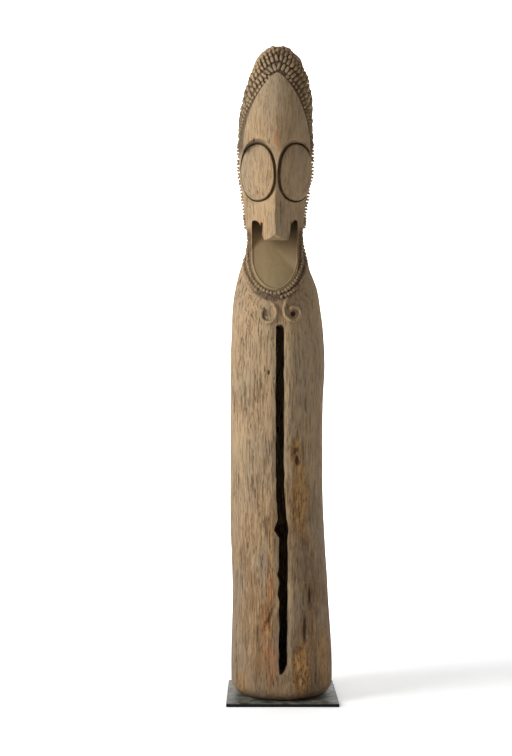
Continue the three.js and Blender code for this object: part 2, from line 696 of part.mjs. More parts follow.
function chamber() {
  const bottom = SLIT_BOTTOM_Z - CHAMBER_PAST_SLIT;
  const top = SLIT_TOP_Z + CHAMBER_PAST_SLIT;
  const rings = [];
  for (let i = 0; i <= CHAMBER_STEPS; i += 1) {
    const t = (1 - Math.cos((i / CHAMBER_STEPS) * Math.PI)) / 2;
    const z = THREE.MathUtils.lerp(bottom, top, t);
    const round = Math.min(1, CHAMBER_END.width + CHAMBER_END.opening * Math.min(t, 1 - t));
    const section = sectionAt((z - FOOT_Z) / SHARE, -WALL);
    section.halfWidth *= round;
    section.halfDepth *= round;
    section.keel = 0;
    rings.push(ringOf(section, z, CHAMBER_SIDES));
  }
  return solidFrom(loft(rings));
}

// Assembly

function joined(solid, pieces) {
  return pieces.reduce((sum, piece) => sum.add(piece), solid);
}

function slitDrum() {
  const plain = logForm();
  const pad = logForm(FOREHEAD_PROUD).intersect(forehead()).intersect(browFade());
  const pierced = noseBar().subtract(noseSlot());
  let drum = joined(plain, [...hair(), pad]);
  drum = drum.subtract(underCheeks().subtract(pierced)).add(chinRim());
  [-1, 1].forEach((side) => {
    drum = drum.subtract(eyeSocket(side)).add(eyeDisc(side));
  });
  drum = joined(drum, [...BEAD_ROWS.flatMap(beadRow), ...spiralBands()]);
  drum = drum.subtract(chamber()).subtract(slitCut()).subtract(splinterCut());
  GOUGES.forEach((gouge) => {
    drum = drum.subtract(gougeCut(gouge));
  });
  return drum;
}

const foot = sectionAt(0);
const plateWidth = 2 * (foot.halfWidth + PLATE_MARGIN_SIDE);
const plateDepth = 2 * (foot.halfDepth + PLATE_MARGIN_FRONT);

const wood = new THREE.MeshStandardMaterial({ color: 0x8c8376, roughness: 0.9, metalness: 0 });
const drumMesh = new THREE.Mesh(geometryFrom(slitDrum()), wood);
drumMesh.name = 'slit_drum';
drumMesh.position.set(-foot.centreX, -foot.centreY, 0);

const steel = new THREE.MeshStandardMaterial({ color: 0x4a4d47, roughness: 0.55, metalness: 0.8 });
const plateMesh = new THREE.Mesh(new THREE.BoxGeometry(plateWidth, plateDepth, PLATE_THICKNESS), steel);
plateMesh.name = 'base_plate';
plateMesh.position.z = PLATE_THICKNESS / 2;

const drum = new THREE.Group();
drum.add(drumMesh, plateMesh);

export default drum;
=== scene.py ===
"""Weathered standing slit drum with an ancestor's head, on its steel plate."""

import logging
import math
from collections.abc import Callable
from dataclasses import dataclass
from enum import Enum

import bpy
import numpy as np
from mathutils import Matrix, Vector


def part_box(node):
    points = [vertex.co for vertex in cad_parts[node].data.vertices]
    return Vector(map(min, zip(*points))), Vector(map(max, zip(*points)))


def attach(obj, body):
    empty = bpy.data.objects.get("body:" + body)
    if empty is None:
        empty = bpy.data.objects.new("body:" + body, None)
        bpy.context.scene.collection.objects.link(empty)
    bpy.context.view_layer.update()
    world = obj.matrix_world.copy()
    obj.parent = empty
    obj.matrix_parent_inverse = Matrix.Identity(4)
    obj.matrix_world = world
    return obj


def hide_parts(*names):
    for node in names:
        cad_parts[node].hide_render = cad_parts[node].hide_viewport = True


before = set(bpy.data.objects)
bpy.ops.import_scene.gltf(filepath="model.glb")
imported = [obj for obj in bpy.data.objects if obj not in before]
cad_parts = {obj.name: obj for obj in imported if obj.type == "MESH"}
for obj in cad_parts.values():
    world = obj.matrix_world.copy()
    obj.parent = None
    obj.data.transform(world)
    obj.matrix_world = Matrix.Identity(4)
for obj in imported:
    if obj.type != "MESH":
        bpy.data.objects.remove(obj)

LOG = logging.getLogger("slit_drum")
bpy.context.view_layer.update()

PHOTO_WIDTH = 512
PHOTO_HEIGHT = 756

# The log's oval sections: level above the foot, reach to the left, right, front and back of the
# axis, and how much of a sharp keel the front has. All but the keel are thousandths of the height.
SECTIONS = np.array([
    [0, 75.3, 83.4, 89.5, 89.5, 0], [40, 75.3, 83.4, 89.5, 89.5, 0],
    [153, 73.4, 78.3, 86.7, 87.5, 0], [305, 76.7, 69.6, 82.3, 82.5, 0],
    [456, 76.9, 68.9, 84.2, 76.8, 0], [514, 77.3, 71, 85.5, 74, 0],
    [573, 75, 67.6, 82.3, 70.5, 0], [607, 73.2, 63.6, 78.3, 68.9, 0.05],
    [632.5, 69.8, 59.8, 69.5, 67.4, 0.12], [660.5, 62.8, 50.2, 71.5, 65.2, 0.3],
    [689, 52.9, 41.8, 74.5, 59.1, 0.5], [710, 50, 37.1, 78.8, 49.5, 0.7],
    [731, 52.1, 38, 80.5, 47.3, 0.75], [774, 56.5, 43.1, 74.4, 45.3, 0.5],
    [793, 59.2, 46.2, 79, 45.7, 0.38], [816.5, 62.4, 50.1, 84, 46.6, 0.34],
    [838.5, 62.7, 50.7, 88.2, 45.7, 0.26], [864, 61.9, 50.1, 89.3, 43.1, 0.16],
    [893, 60.1, 49, 88.8, 38.5, 0.1], [921.5, 54.8, 48.4, 86.4, 32.2, 0.08],
    [941.5, 50.4, 45.5, 83.8, 26.7, 0.08], [957.5, 45.8, 43.1, 81.8, 18.8, 0.08],
    [971, 42, 38.2, 81, 12.7, 0.06], [984, 36.8, 33.4, 79.2, 2.6, 0.03],
    [992.5, 29.3, 23.2, 74.8, -9.6, 0], [998.7, 21.5, 17.9, 65.6, -27.1, 0],
])
TOP_LEVEL = float(SECTIONS[-1, 0])
FOOT_ROUNDING = 0.048


class ValueNoise:
    """Smooth seeded noise in space, from a repeating lattice of random numbers."""

    def __init__(self, seed: int, size: int = 48) -> None:
        """Fills the lattice.

        Args:
            seed: Start of the random sequence.
            size: Lattice points along each side before it repeats.
        """
        self.size = size
        self.lattice = np.random.default_rng(seed).random((size, size, size))

    def at(self, points: np.ndarray, cell: tuple[float, float, float]) -> np.ndarray:
        """Blends the eight lattice values around each point with an eased weight.

        Args:
            points: Places, with x, y and z last.
            cell: Size of one lattice cell along x, y and z, in metres.

        Returns:
            Values from -1 to 1, one for each place.
        """
        scaled = points / np.array(cell) + 100.0
        base = np.floor(scaled).astype(int)
        part = scaled - base
        part = part * part * (3.0 - 2.0 * part)
        total = np.zeros(points.shape[:-1])
        for corner in np.ndindex(2, 2, 2):
            index = (base + np.array(corner)) % self.size
            weight = np.prod(np.where(np.array(corner) == 1, part, 1.0 - part), axis=-1)
            total += weight * self.lattice[index[..., 0], index[..., 1], index[..., 2]]
        return 2.0 * total - 1.0


def eased(value: np.ndarray, start: float, end: float) -> np.ndarray:
    """Rises from 0 at start to 1 at end along 3t^2 - 2t^3.

    Args:
        value: Numbers to grade.
        start: Where the rise begins.
        end: Where it is complete; below start it falls instead.

    Returns:
        Numbers from 0 to 1.
    """
    part = np.clip((value - start) / (end - start), 0.0, 1.0)
    return part * part * (3.0 - 2.0 * part)


def unit(vectors: np.ndarray) -> np.ndarray:
    """Scales each vector to length 1."""
    return vectors / np.maximum(np.linalg.norm(vectors, axis=-1, keepdims=True), 1e-12)


def full_turn(count: int) -> np.ndarray:
    """Evenly spaced angles once around, in radians."""
    return np.linspace(0, 2 * math.pi, count, endpoint=False)


@dataclass(frozen=True)
class LogForm:
    """Outer form of the log, the same as the solid's.

    Attributes:
        share: A thousandth of the log's height, in metres.
        foot: Height of the underside.
        axis: Sideways place of the line that the sections are measured from.
    """

    share: float
    foot: float
    axis: float

    @classmethod
    def from_frame(cls) -> "LogForm":
        """Takes height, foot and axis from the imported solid's box."""
        low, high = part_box("slit_drum")
        share = (high[2] - low[2]) / TOP_LEVEL
        foot_centre = (SECTIONS[0, 2] - SECTIONS[0, 1]) / 2.0
        return cls(share, low[2], -foot_centre * share)

    def height(self, level: np.ndarray | float) -> np.ndarray | float:
        """Height above the floor of a level."""
        return self.foot + level * self.share

    def level(self, z: np.ndarray | float) -> np.ndarray | float:
        """Level of a height above the floor."""
        return (z - self.foot) / self.share

    def beside(self, x: np.ndarray | float) -> np.ndarray | float:
        """Sideways place in metres of one given in shares from the axis."""
        return self.axis + x * self.share

    def section(self, level: np.ndarray, grow: np.ndarray | float = 0.0) -> tuple[np.ndarray, ...]:
        """Section at each level: cubics between the stations, with slopes that never overshoot.

        Args:
            level: Levels in thousandths of the height.
            grow: How far the wood stands outside the plain form, in metres.

        Returns:
            Centre x, half width, centre y, half depth and keel.
        """
        known = SECTIONS[:, 0]
        level = np.clip(level, known[0], known[-1])
        upper = np.clip(np.searchsorted(known, level, side="right"), 1, len(known) - 1)
        span = known[upper] - known[upper - 1]
        part = (level - known[upper - 1]) / span
        values = []
        for column in range(1, 6):
            station = SECTIONS[:, column]
            slopes = np.diff(station) / np.diff(known)
            product = slopes[:-1] * slopes[1:]
            total = slopes[:-1] + slopes[1:]
            inner = np.where(product > 0, 2 * product / np.where(product > 0, total, 1.0), 0.0)
            slope = np.concatenate([[0.0], inner, [0.0]])
            rise = part * part * (3 - 2 * part)
            values.append(station[upper - 1] * (1 - rise) + station[upper] * rise
                          + part * (1 - part) ** 2 * span * slope[upper - 1]
                          + part * part * (part - 1) * span * slope[upper])
        left, right, front, back, keel = values
        scale = self.share
        return (self.axis + (right - left) / 2 * scale, (right + left) / 2 * scale + grow,
                (back - front) / 2 * scale, (back + front) / 2 * scale + grow, keel)

    def surface(self, turn: np.ndarray, level: np.ndarray, grow: np.ndarray | float = 0.0) -> np.ndarray:
        """Point of the surface: x is the half width times sin(turn), and y a mix of an ellipse and
        a straight-sided keel at the front, a plain ellipse behind.

        Args:
            turn: Angle from the front towards +X, in radians.
            level: Levels in thousandths of the height.
            grow: How far the wood stands outside the plain form, in metres.

        Returns:
            Points, with x, y and z last.
        """
        centre_x, half_width, centre_y, half_depth, keel = self.section(level, grow)
        across = np.sin(turn)
        ahead = np.cos(turn)
        keeled = (1 - keel) * ahead + keel * (1 - np.abs(across))
        reach = np.where(ahead > 0, keeled, ahead)
        x = centre_x + half_width * across
        y = centre_y - half_depth * reach
        return np.stack(np.broadcast_arrays(x, y, self.height(level)), axis=-1)

    def outward(self, turn: np.ndarray, level: np.ndarray) -> np.ndarray:
        """Outward unit direction of the surface, from its two tangents."""
        ahead = self.surface(turn + 0.02, level) - self.surface(turn - 0.02, level)
        up = self.surface(turn, level + 1.0) - self.surface(turn, level - 1.0)
        return unit(np.cross(ahead, up))


FORM = LogForm.from_frame()
SHARE = FORM.share
NOISE = ValueNoise(seed=11)


def front_depth(x: np.ndarray, z: np.ndarray) -> np.ndarray:
    """Depth of the uncut front surface behind a place in the front view.

    Args:
        x: Sideways places, in metres.
        z: Heights, in metres.

    Returns:
        The y of the surface at each place.
    """
    centre_x, half_width, centre_y, half_depth, keel = FORM.section(FORM.level(z))
    across = np.clip((x - centre_x) / half_width, -1, 1)
    reach = (1 - keel) * np.sqrt(1 - across * across) + keel * (1 - np.abs(across))
    return centre_y - half_depth * reach


# Places that several parts of the carving share, in shares of the height

HEAD_AXIS = -4.3
SPIRAL_LEVEL = 589.5
CHIN_LEVEL = 700.0
CHIN_DEPTH = 28.2
CHIN_LEAN = 0.535
CHIN_AXIS = -7.3
CHIN_HALF_WIDTH = 34.4
CHIN_SPRING = 676.0
CHIN_BOTTOM = 628.0
PANEL_CLEARANCE = 1.2
CHEEK_LEVEL = 726.5
CHEEK_DEPTH = 65.2
CHEEK_SLOPE = 0.455
ARCH_SPRING = 852.0
ARCH_TOP = 953.5
ARCH_BOTTOM = 806.0
ARCH_HALF_WIDTH = 51.5
ARCH_POINT = 1.7
ARCH_FULLNESS = 0.72
NECK_LEVEL = 717.0


def chin_depth(z: np.ndarray | float) -> np.ndarray | float:
    """Depth of the flat chin panel, which leans forward as it goes down."""
    return -(CHIN_DEPTH + CHIN_LEAN * (CHIN_LEVEL - FORM.level(z))) * SHARE


def cheek_level(y_shares: float) -> float:
    """Level of the cheeks' underside, which rises to the back."""
    return CHEEK_LEVEL + (y_shares + CHEEK_DEPTH) * CHEEK_SLOPE


def carved_front(x: np.ndarray, z: np.ndarray, cut: bool = True) -> np.ndarray:
    """Points of the front: the log's surface or, where cut, the chin panel if it lies behind."""
    depth = front_depth(x, z)
    return np.stack([x, np.maximum(depth, chin_depth(z)) if cut else depth, z], axis=-1)


def out_of_front(x: np.ndarray, z: np.ndarray, cut: bool = True) -> np.ndarray:
    """Outward unit direction of the front, from two central differences."""
    step = 0.003
    across = carved_front(x + step, z, cut) - carved_front(x - step, z, cut)
    up = carved_front(x, z + step, cut) - carved_front(x, z - step, cut)
    return unit(np.cross(across, up))


def enclosed(places: np.ndarray, rows: list) -> float:
    """Volume inside closed faces: the sum of the wedges of each face's fan of triangles.

    Args:
        places: Points, one a row.
        rows: Index lists of the faces.

    Returns:
        The volume, negative where the faces point inwards.
    """
    total = 0.0
    for count in {len(row) for row in rows}:
        faces = places[np.array([row for row in rows if len(row) == count])]
        for corner in range(1, count - 1):
            wedge = np.cross(faces[:, corner], faces[:, corner + 1])
            total += float(np.sum(faces[:, 0] * wedge)) / 6.0
    return total


def linked(name: str, data: bpy.types.ID) -> bpy.types.Object:
    """Makes an object of mesh, light or camera data and links it into the scene."""
    obj = bpy.data.objects.new(name, data)
    bpy.context.scene.collection.objects.link(obj)
    return obj


def mesh_object(name: str, points: np.ndarray, faces: list | np.ndarray, smooth: bool = True,
                closed: bool = True) -> bpy.types.Object:
    """Makes an object at the origin from points and faces. A closed one is turned so that its
    volume is positive.

    Args:
        name: The object's name.
        points: Array of places, in metres.
        faces: Index lists, all turning the same way.
        smooth: Whether its faces are shaded smooth.
        closed: Whether the faces enclose a volume.

    Returns:
        The linked object.
    """
    mesh = bpy.data.meshes.new(name)
    rows = faces.tolist() if isinstance(faces, np.ndarray) else [list(face) for face in faces]
    places = points.reshape(-1, 3)
    if closed and enclosed(places, rows) < 0:
        rows = [face[::-1] for face in rows]
    mesh.from_pydata(places.tolist(), [], rows)
    mesh.update()
    mesh.polygons.foreach_set("use_smooth", np.full(len(rows), smooth))
    return linked(name, mesh)


def grid_faces(rows: int, columns: int, start: int = 0) -> np.ndarray:
    """Four-cornered faces between closed rings of equal length.

    Args:
        rows: Number of rings.
        columns: Points in each ring.
        start: Index of the first point.

    Returns:
        Array of faces with four indices each.
    """
    ring, spot = np.meshgrid(np.arange(rows - 1), np.arange(columns), indexing="ij")
    following = (spot + 1) % columns
    low = start + ring * columns
    high = low + columns
    return np.stack([low + spot, low + following, high + following, high + spot], axis=-1).reshape(-1, 4)


def lofted(name: str, rings: np.ndarray, smooth: bool = True) -> bpy.types.Object:
    """Closed surface through rings of points, with a fan around a middle point at both ends.

    Args:
        name: The object's name.
        rings: Array of rings, points and coordinates.
        smooth: Whether its faces are shaded smooth.

    Returns:
        The linked object.
    """
    count, columns = rings.shape[:2]
    ends = np.stack([rings[0].mean(axis=0), rings[-1].mean(axis=0)])
    points = np.concatenate([rings.reshape(-1, 3), ends])
    spot = np.arange(columns)
    following = (spot + 1) % columns
    bottom = np.stack([following, spot, np.full(columns, count * columns)], axis=-1)
    last = (count - 1) * columns
    top = np.stack([last + spot, last + following, np.full(columns, count * columns + 1)], axis=-1)
    faces = grid_faces(count, columns).tolist() + bottom.tolist() + top.tolist()
    return mesh_object(name, points, faces, smooth)


def prism(name: str, outline: np.ndarray, first: np.ndarray, second: np.ndarray) -> bpy.types.Object:
    """Closed prism: the outline's plane points, moved to first and to second along its third axis.

    Args:
        name: The object's name.
        outline: Closed outline with three coordinates, flat along one of them.
        first: Shift of one end.
        second: Shift of the other end.

    Returns:
        The linked object.
    """
    count = len(outline)
    points = np.concatenate([outline + first, outline + second])
    ends = [list(range(count))[::-1], list(range(count, 2 * count))]
    return mesh_object(name, points, ends + grid_faces(2, count).tolist(), smooth=False)


class Cut(Enum):
    """How one solid works on another."""

    AWAY = "DIFFERENCE"
    JOIN = "UNION"
    COMMON = "INTERSECT"


def worked(target: bpy.types.Object, tools: list[tuple[Cut, bpy.types.Object]]) -> None:
    """Cuts and joins solids into the target's own mesh, in order, and deletes the tools.

    Args:
        target: The object that is cut.
        tools: Pairs of what to do and the solid that does it.
    """
    for cut, tool in tools:
        modifier = target.modifiers.new(cut.name, "BOOLEAN")
        modifier.operation = cut.value
        modifier.solver = "MANIFOLD"
        modifier.object = tool
    graph = bpy.context.evaluated_depsgraph_get()
    result = bpy.data.meshes.new_from_object(target.evaluated_get(graph))
    target.modifiers.clear()
    target.data = result
    for _, tool in tools:
        bpy.data.objects.remove(tool)


def reshaped(obj: bpy.types.Object, change: Callable[[np.ndarray], np.ndarray]) -> bpy.types.Object:
    """Moves an object's points.

    Args:
        obj: The object.
        change: Gives the new places for the old ones.

    Returns:
        The same object.
    """
    points = np.empty(len(obj.data.vertices) * 3)
    obj.data.vertices.foreach_get("co", points)
    obj.data.vertices.foreach_set("co", change(points.reshape(-1, 3)).ravel())
    return obj


def stud(columns: int, radii: np.ndarray, heights: np.ndarray,
         square: float = 0.0) -> tuple[np.ndarray, list]:
    """Closed knob of rings, each point at radius / max(|cos|, |sin|)^square around an upright axis.

    Args:
        columns: Points in each ring.
        radii: Radius of each ring, from the foot up.
        heights: Height of each ring.
        square: 0 for round rings, 1 for square ones.

    Returns:
        Points (along, across, out) and faces.
    """
    around = full_turn(columns)
    reach = radii[:, None] / np.maximum(np.abs(np.cos(around)), np.abs(np.sin(around))) ** square
    rings = np.stack([reach * np.cos(around), reach * np.sin(around),
                      np.broadcast_to(heights[:, None], reach.shape)], axis=-1)
    last = (len(radii) - 1) * columns
    ends = [list(range(columns))[::-1], list(range(last, last + columns))]
    return rings.reshape(-1, 3), grid_faces(len(radii), columns).tolist() + ends


def in_frames(centre: np.ndarray, axes: tuple[np.ndarray, ...], parts: tuple[np.ndarray, ...]) -> np.ndarray:
    """Copies of a form: each place plus the form's three measures along the place's own axes.

    Args:
        centre: Places, one a row.
        axes: Three unit directions at each place.
        parts: Three measures, with a row for each place and a column for each point of the form.

    Returns:
        Points, one a row.
    """
    shift = sum(part[..., None] * axis[:, None] for part, axis in zip(parts, axes))
    return (centre[:, None] + shift).reshape(-1, 3)


def copied(faces: list, size: int, count: int, start: int = 0) -> list:
    """Faces of a number of equal forms, each with its own run of points."""
    return [[start + k * size + i for i in face] for k in range(count) for face in faces]


def crisp(obj: bpy.types.Object, angle: float) -> None:
    """Shades smooth except along edges that turn by more than the angle, in degrees."""
    obj.data.polygons.foreach_set("use_smooth", np.full(len(obj.data.polygons), True))
    obj.data.set_sharp_from_angle(angle=math.radians(angle))


@dataclass(frozen=True)
class Scar:
    """A damaged place on the front of the log.

    Attributes:
        x: Sideways place in shares.
        level: Level of its middle.
        width: Half width in shares.
        height: Half height in shares.
        depth: Greatest depth in metres.
        lean: Sideways run in shares for each share of height.
        crumb: Part of the depth that is pitted by insects.
    """

    x: float
    level: float
    width: float
    height: float
    depth: float
    lean: float = 0.0
    crumb: float = 0.0

    def cover(self, points: np.ndarray) -> np.ndarray:
        """Falls from 1 in the middle to 0 at the oval's edge, on the front half only.

        Args:
            points: Places on the log.

        Returns:
            Numbers from 0 to 1.
        """
        level = FORM.level(points[..., 2])
        rise = (level - self.level) / self.height
        across = (points[..., 0] - FORM.axis) / SHARE - self.x - self.lean * (level - self.level)
        away = np.sqrt((across / self.width) ** 2 + rise**2)
        return eased(away, 1.0, 0.25) * (points[..., 1] < 0)


SCARS = (
    Scar(x=25.5, level=376, width=8.5, height=30, depth=0.012, crumb=0.6),
    Scar(x=31, level=308, width=13, height=60, depth=0.004, crumb=0.9),
    Scar(x=-17.3, level=125, width=5.4, height=32, depth=0.011, lean=0.42, crumb=0.2),
    Scar(x=37.5, level=111, width=5, height=34, depth=0.009, crumb=0.1),
    Scar(x=31.5, level=53, width=17, height=46, depth=0.012, crumb=0.9),
    Scar(x=-17, level=499.5, width=2.6, height=5, depth=0.007),
    Scar(x=-39.5, level=855, width=1.6, height=2.6, depth=0.006),
    Scar(x=45, level=160.5, width=1.8, height=24, depth=0.007),
    Scar(x=20.2, level=589, width=6.5, height=7, depth=0.012),
    Scar(x=-61, level=61, width=9, height=34, depth=0.004, crumb=0.6),
)
KNOT_HOLE = {"y": 39.5, "level": 702.5, "radius": 4.2, "depth": 0.01}


@dataclass(frozen=True)
class LogSkin:
    """Fine relief of the weathered log, as a height outside the plain form.

    Attributes:
        grain: Height of the narrow upright ridges, in metres.
        swell: Height of the slow swells of the hewn trunk.
        tool: Height of the tool marks on the head.
        lip: How far the lips of the slit are worn down.
    """

    grain: float = 0.0011
    swell: float = 0.0032
    tool: float = 0.0011
    lip: float = 0.0045

    def relief(self, points: np.ndarray) -> np.ndarray:
        """Adds slow swells, upright grain, tool marks, scars and worn lips.

        Args:
            points: Places on the plain form.

        Returns:
            Height outside the form at each place, in metres.
        """
        level = FORM.level(points[..., 2])
        trunk = eased(level, 660, 560)
        front = points[..., 1] < 0
        smooth_face = 1.0 - 0.6 * eased(level, 640, 700) * front
        height = self.swell * trunk * NOISE.at(points, (0.13, 0.13, 0.3))
        height += self.grain * smooth_face * NOISE.at(points, (0.011, 0.011, 0.21))
        height += 0.8 * self.grain * smooth_face * NOISE.at(points + 3.0, (0.023, 0.023, 0.5))
        height += self.tool * (1 - trunk) * NOISE.at(points + 7.0, (0.03, 0.03, 0.026))
        pits = 0.5 + 0.5 * NOISE.at(points + 5.0, (0.013, 0.013, 0.03))
        for scar in SCARS:
            cover = scar.cover(points)
            height -= scar.depth * cover * (1 - scar.crumb + scar.crumb * 2.0 * pits**2)
        return height - self.worn_lips(points, level, front) - self.knot(points, level)

    def worn_lips(self, points: np.ndarray, level: np.ndarray, front: np.ndarray) -> np.ndarray:
        """Wear beside the slit: it falls off with the square of the distance from the edge."""
        low, high = SLIT.levels()
        beside = np.abs(points[..., 0] - SLIT.middle(points[..., 2])) - SLIT.width / 2
        near = np.exp(-np.square(np.maximum(beside, 0) / 0.009))
        return self.lip * near * front * eased(level, low - 6, low + 8) * eased(level, high + 4, high - 8)

    def knot(self, points: np.ndarray, level: np.ndarray) -> np.ndarray:
        """Round knot hole low on the left side of the head, towards the back."""
        across = points[..., 1] / SHARE - KNOT_HOLE["y"]
        away = np.hypot(across, level - KNOT_HOLE["level"]) / KNOT_HOLE["radius"]
        left = points[..., 0] < FORM.axis
        return KNOT_HOLE["depth"] * eased(away, 1.0, 0.4) * left


@dataclass(frozen=True)
class Slit:
    """The sounding slit down the front and the chamber behind it.

    Attributes:
        width: Plain width, in metres.
        above_foot: Height of its lower end above the underside.
        below_spirals: Depth of its upper end below the middle of the chest spirals.
        wall: Thickness of the log's wall.
        past: How far the chamber runs past the slit's ends.
        offset: Sideways place of its middle, in shares.
        wander: How far the slit drifts sideways on its way up, in shares.
        bend: Level of the middle of that drift, and the span that sets its softness.
        ragged: Size of the broken edges.
        splinter: Width of the piece broken out beside the slit.
        tip: Height over which the lower end narrows, as a part of the slit's height.
        dome: Width of the chamber's ends as a part of its full width.
    """

    width: float = 0.029
    above_foot: float = 0.096
    below_spirals: float = 0.04
    wall: float = 0.042
    past: float = 0.022
    offset: float = 2.2
    wander: float = 2.65
    bend: tuple[float, float] = (295.0, 46.0)
    ragged: float = 0.0016
    splinter: float = 0.018
    tip: float = 0.03
    dome: float = 0.55

    def ends(self) -> tuple[float, float]:
        """Heights of the lower and the upper end."""
        return FORM.foot + self.above_foot, FORM.height(SPIRAL_LEVEL) - self.below_spirals

    def levels(self) -> tuple[float, float]:
        """Levels of the lower and the upper end."""
        low, high = self.ends()
        return FORM.level(low), FORM.level(high)

    def middle(self, z: np.ndarray) -> np.ndarray:
        """Sideways place of the slit's middle: a soft step between its lower and upper run."""
        at, span = self.bend
        return FORM.beside(self.offset - self.wander * np.tanh((FORM.level(z) - at) / span))

    def cutter(self) -> bpy.types.Object:
        """Prism through the front wall whose two edges wander and are notched.

        Returns:
            The solid to cut away.
        """
        low, high = self.ends()
        z = np.concatenate([np.linspace(low, low + 0.04, 16)[:-1], np.linspace(low + 0.04, high, 240)])
        t = (z - low) / (high - low)
        ends = np.minimum(1.0, 0.6 + (1 - t) * 50)
        tip = 0.2 + 0.8 * np.sqrt(np.minimum(1.0, t / self.tip))
        spots = np.stack([np.zeros_like(z), np.zeros_like(z), z], axis=-1)
        left = self.ragged * (NOISE.at(spots, (1, 1, 0.03)) + NOISE.at(spots, (1, 1, 0.1)))
        right = self.ragged * (NOISE.at(spots + 9.0, (1, 1, 0.035)) + NOISE.at(spots + 9.0, (1, 1, 0.12)))
        level = FORM.level(z)
        splinter = np.clip((level - 248.5) / 11.5, 0, 1) * np.clip((276.5 - level) / 16.5, 0, 1)
        splinter *= self.splinter
        chips = 0.006 * eased(level, 152, 162) * eased(level, 180, 166)
        chips += 0.005 * eased(level, 186, 191) * eased(level, 204, 192)
        left_edge = self.middle(z) - (self.width / 2 + left + splinter + chips) * ends
        plain_left = self.middle(z) - self.width / 2 * ends
        right_edge = plain_left + (self.width + right + 0.3 * splinter) * ends * tip
        x = np.concatenate([left_edge, right_edge[::-1]])
        outline = np.stack([x, np.zeros_like(x), np.concatenate([z, z[::-1]])], axis=-1)
        return prism("slit_cutter", outline, np.array([0, -110 * SHARE, 0]), np.zeros(3))

    def chamber(self) -> bpy.types.Object:
        """Hollow inside: the log's section less the wall, drawn in to a dome at both ends.

        Returns:
            The solid to cut away.
        """
        low, high = self.ends()
        share = (1 - np.cos(np.linspace(0, math.pi, 46))) / 2
        z = low - self.past + share * (high - low + 2 * self.past)
        dome = np.minimum(1.0, self.dome + 6 * np.minimum(share, 1 - share))
        turn = full_turn(72)
        centre_x, half_width, centre_y, half_depth, _ = FORM.section(FORM.level(z), -self.wall)
        x = centre_x[:, None] + (half_width * dome)[:, None] * np.sin(turn)
        y = centre_y[:, None] - (half_depth * dome)[:, None] * np.cos(turn)
        rings = np.stack([x, y, np.broadcast_to(z[:, None], x.shape)], axis=-1)
        rings[..., 1] += 0.002 * NOISE.at(rings, (0.03, 0.03, 0.09))
        return lofted("chamber_cutter", rings)


SLIT = Slit()


def side_prism(name: str, outline: list[tuple[float, float]], low_x: float,
               high_x: float) -> bpy.types.Object:
    """Prism across the log from an outline of y and z places, between two sideways places."""
    points = np.array([[0.0, y, z] for y, z in outline])
    return prism(name, points, np.array([low_x, 0, 0]), np.array([high_x, 0, 0]))


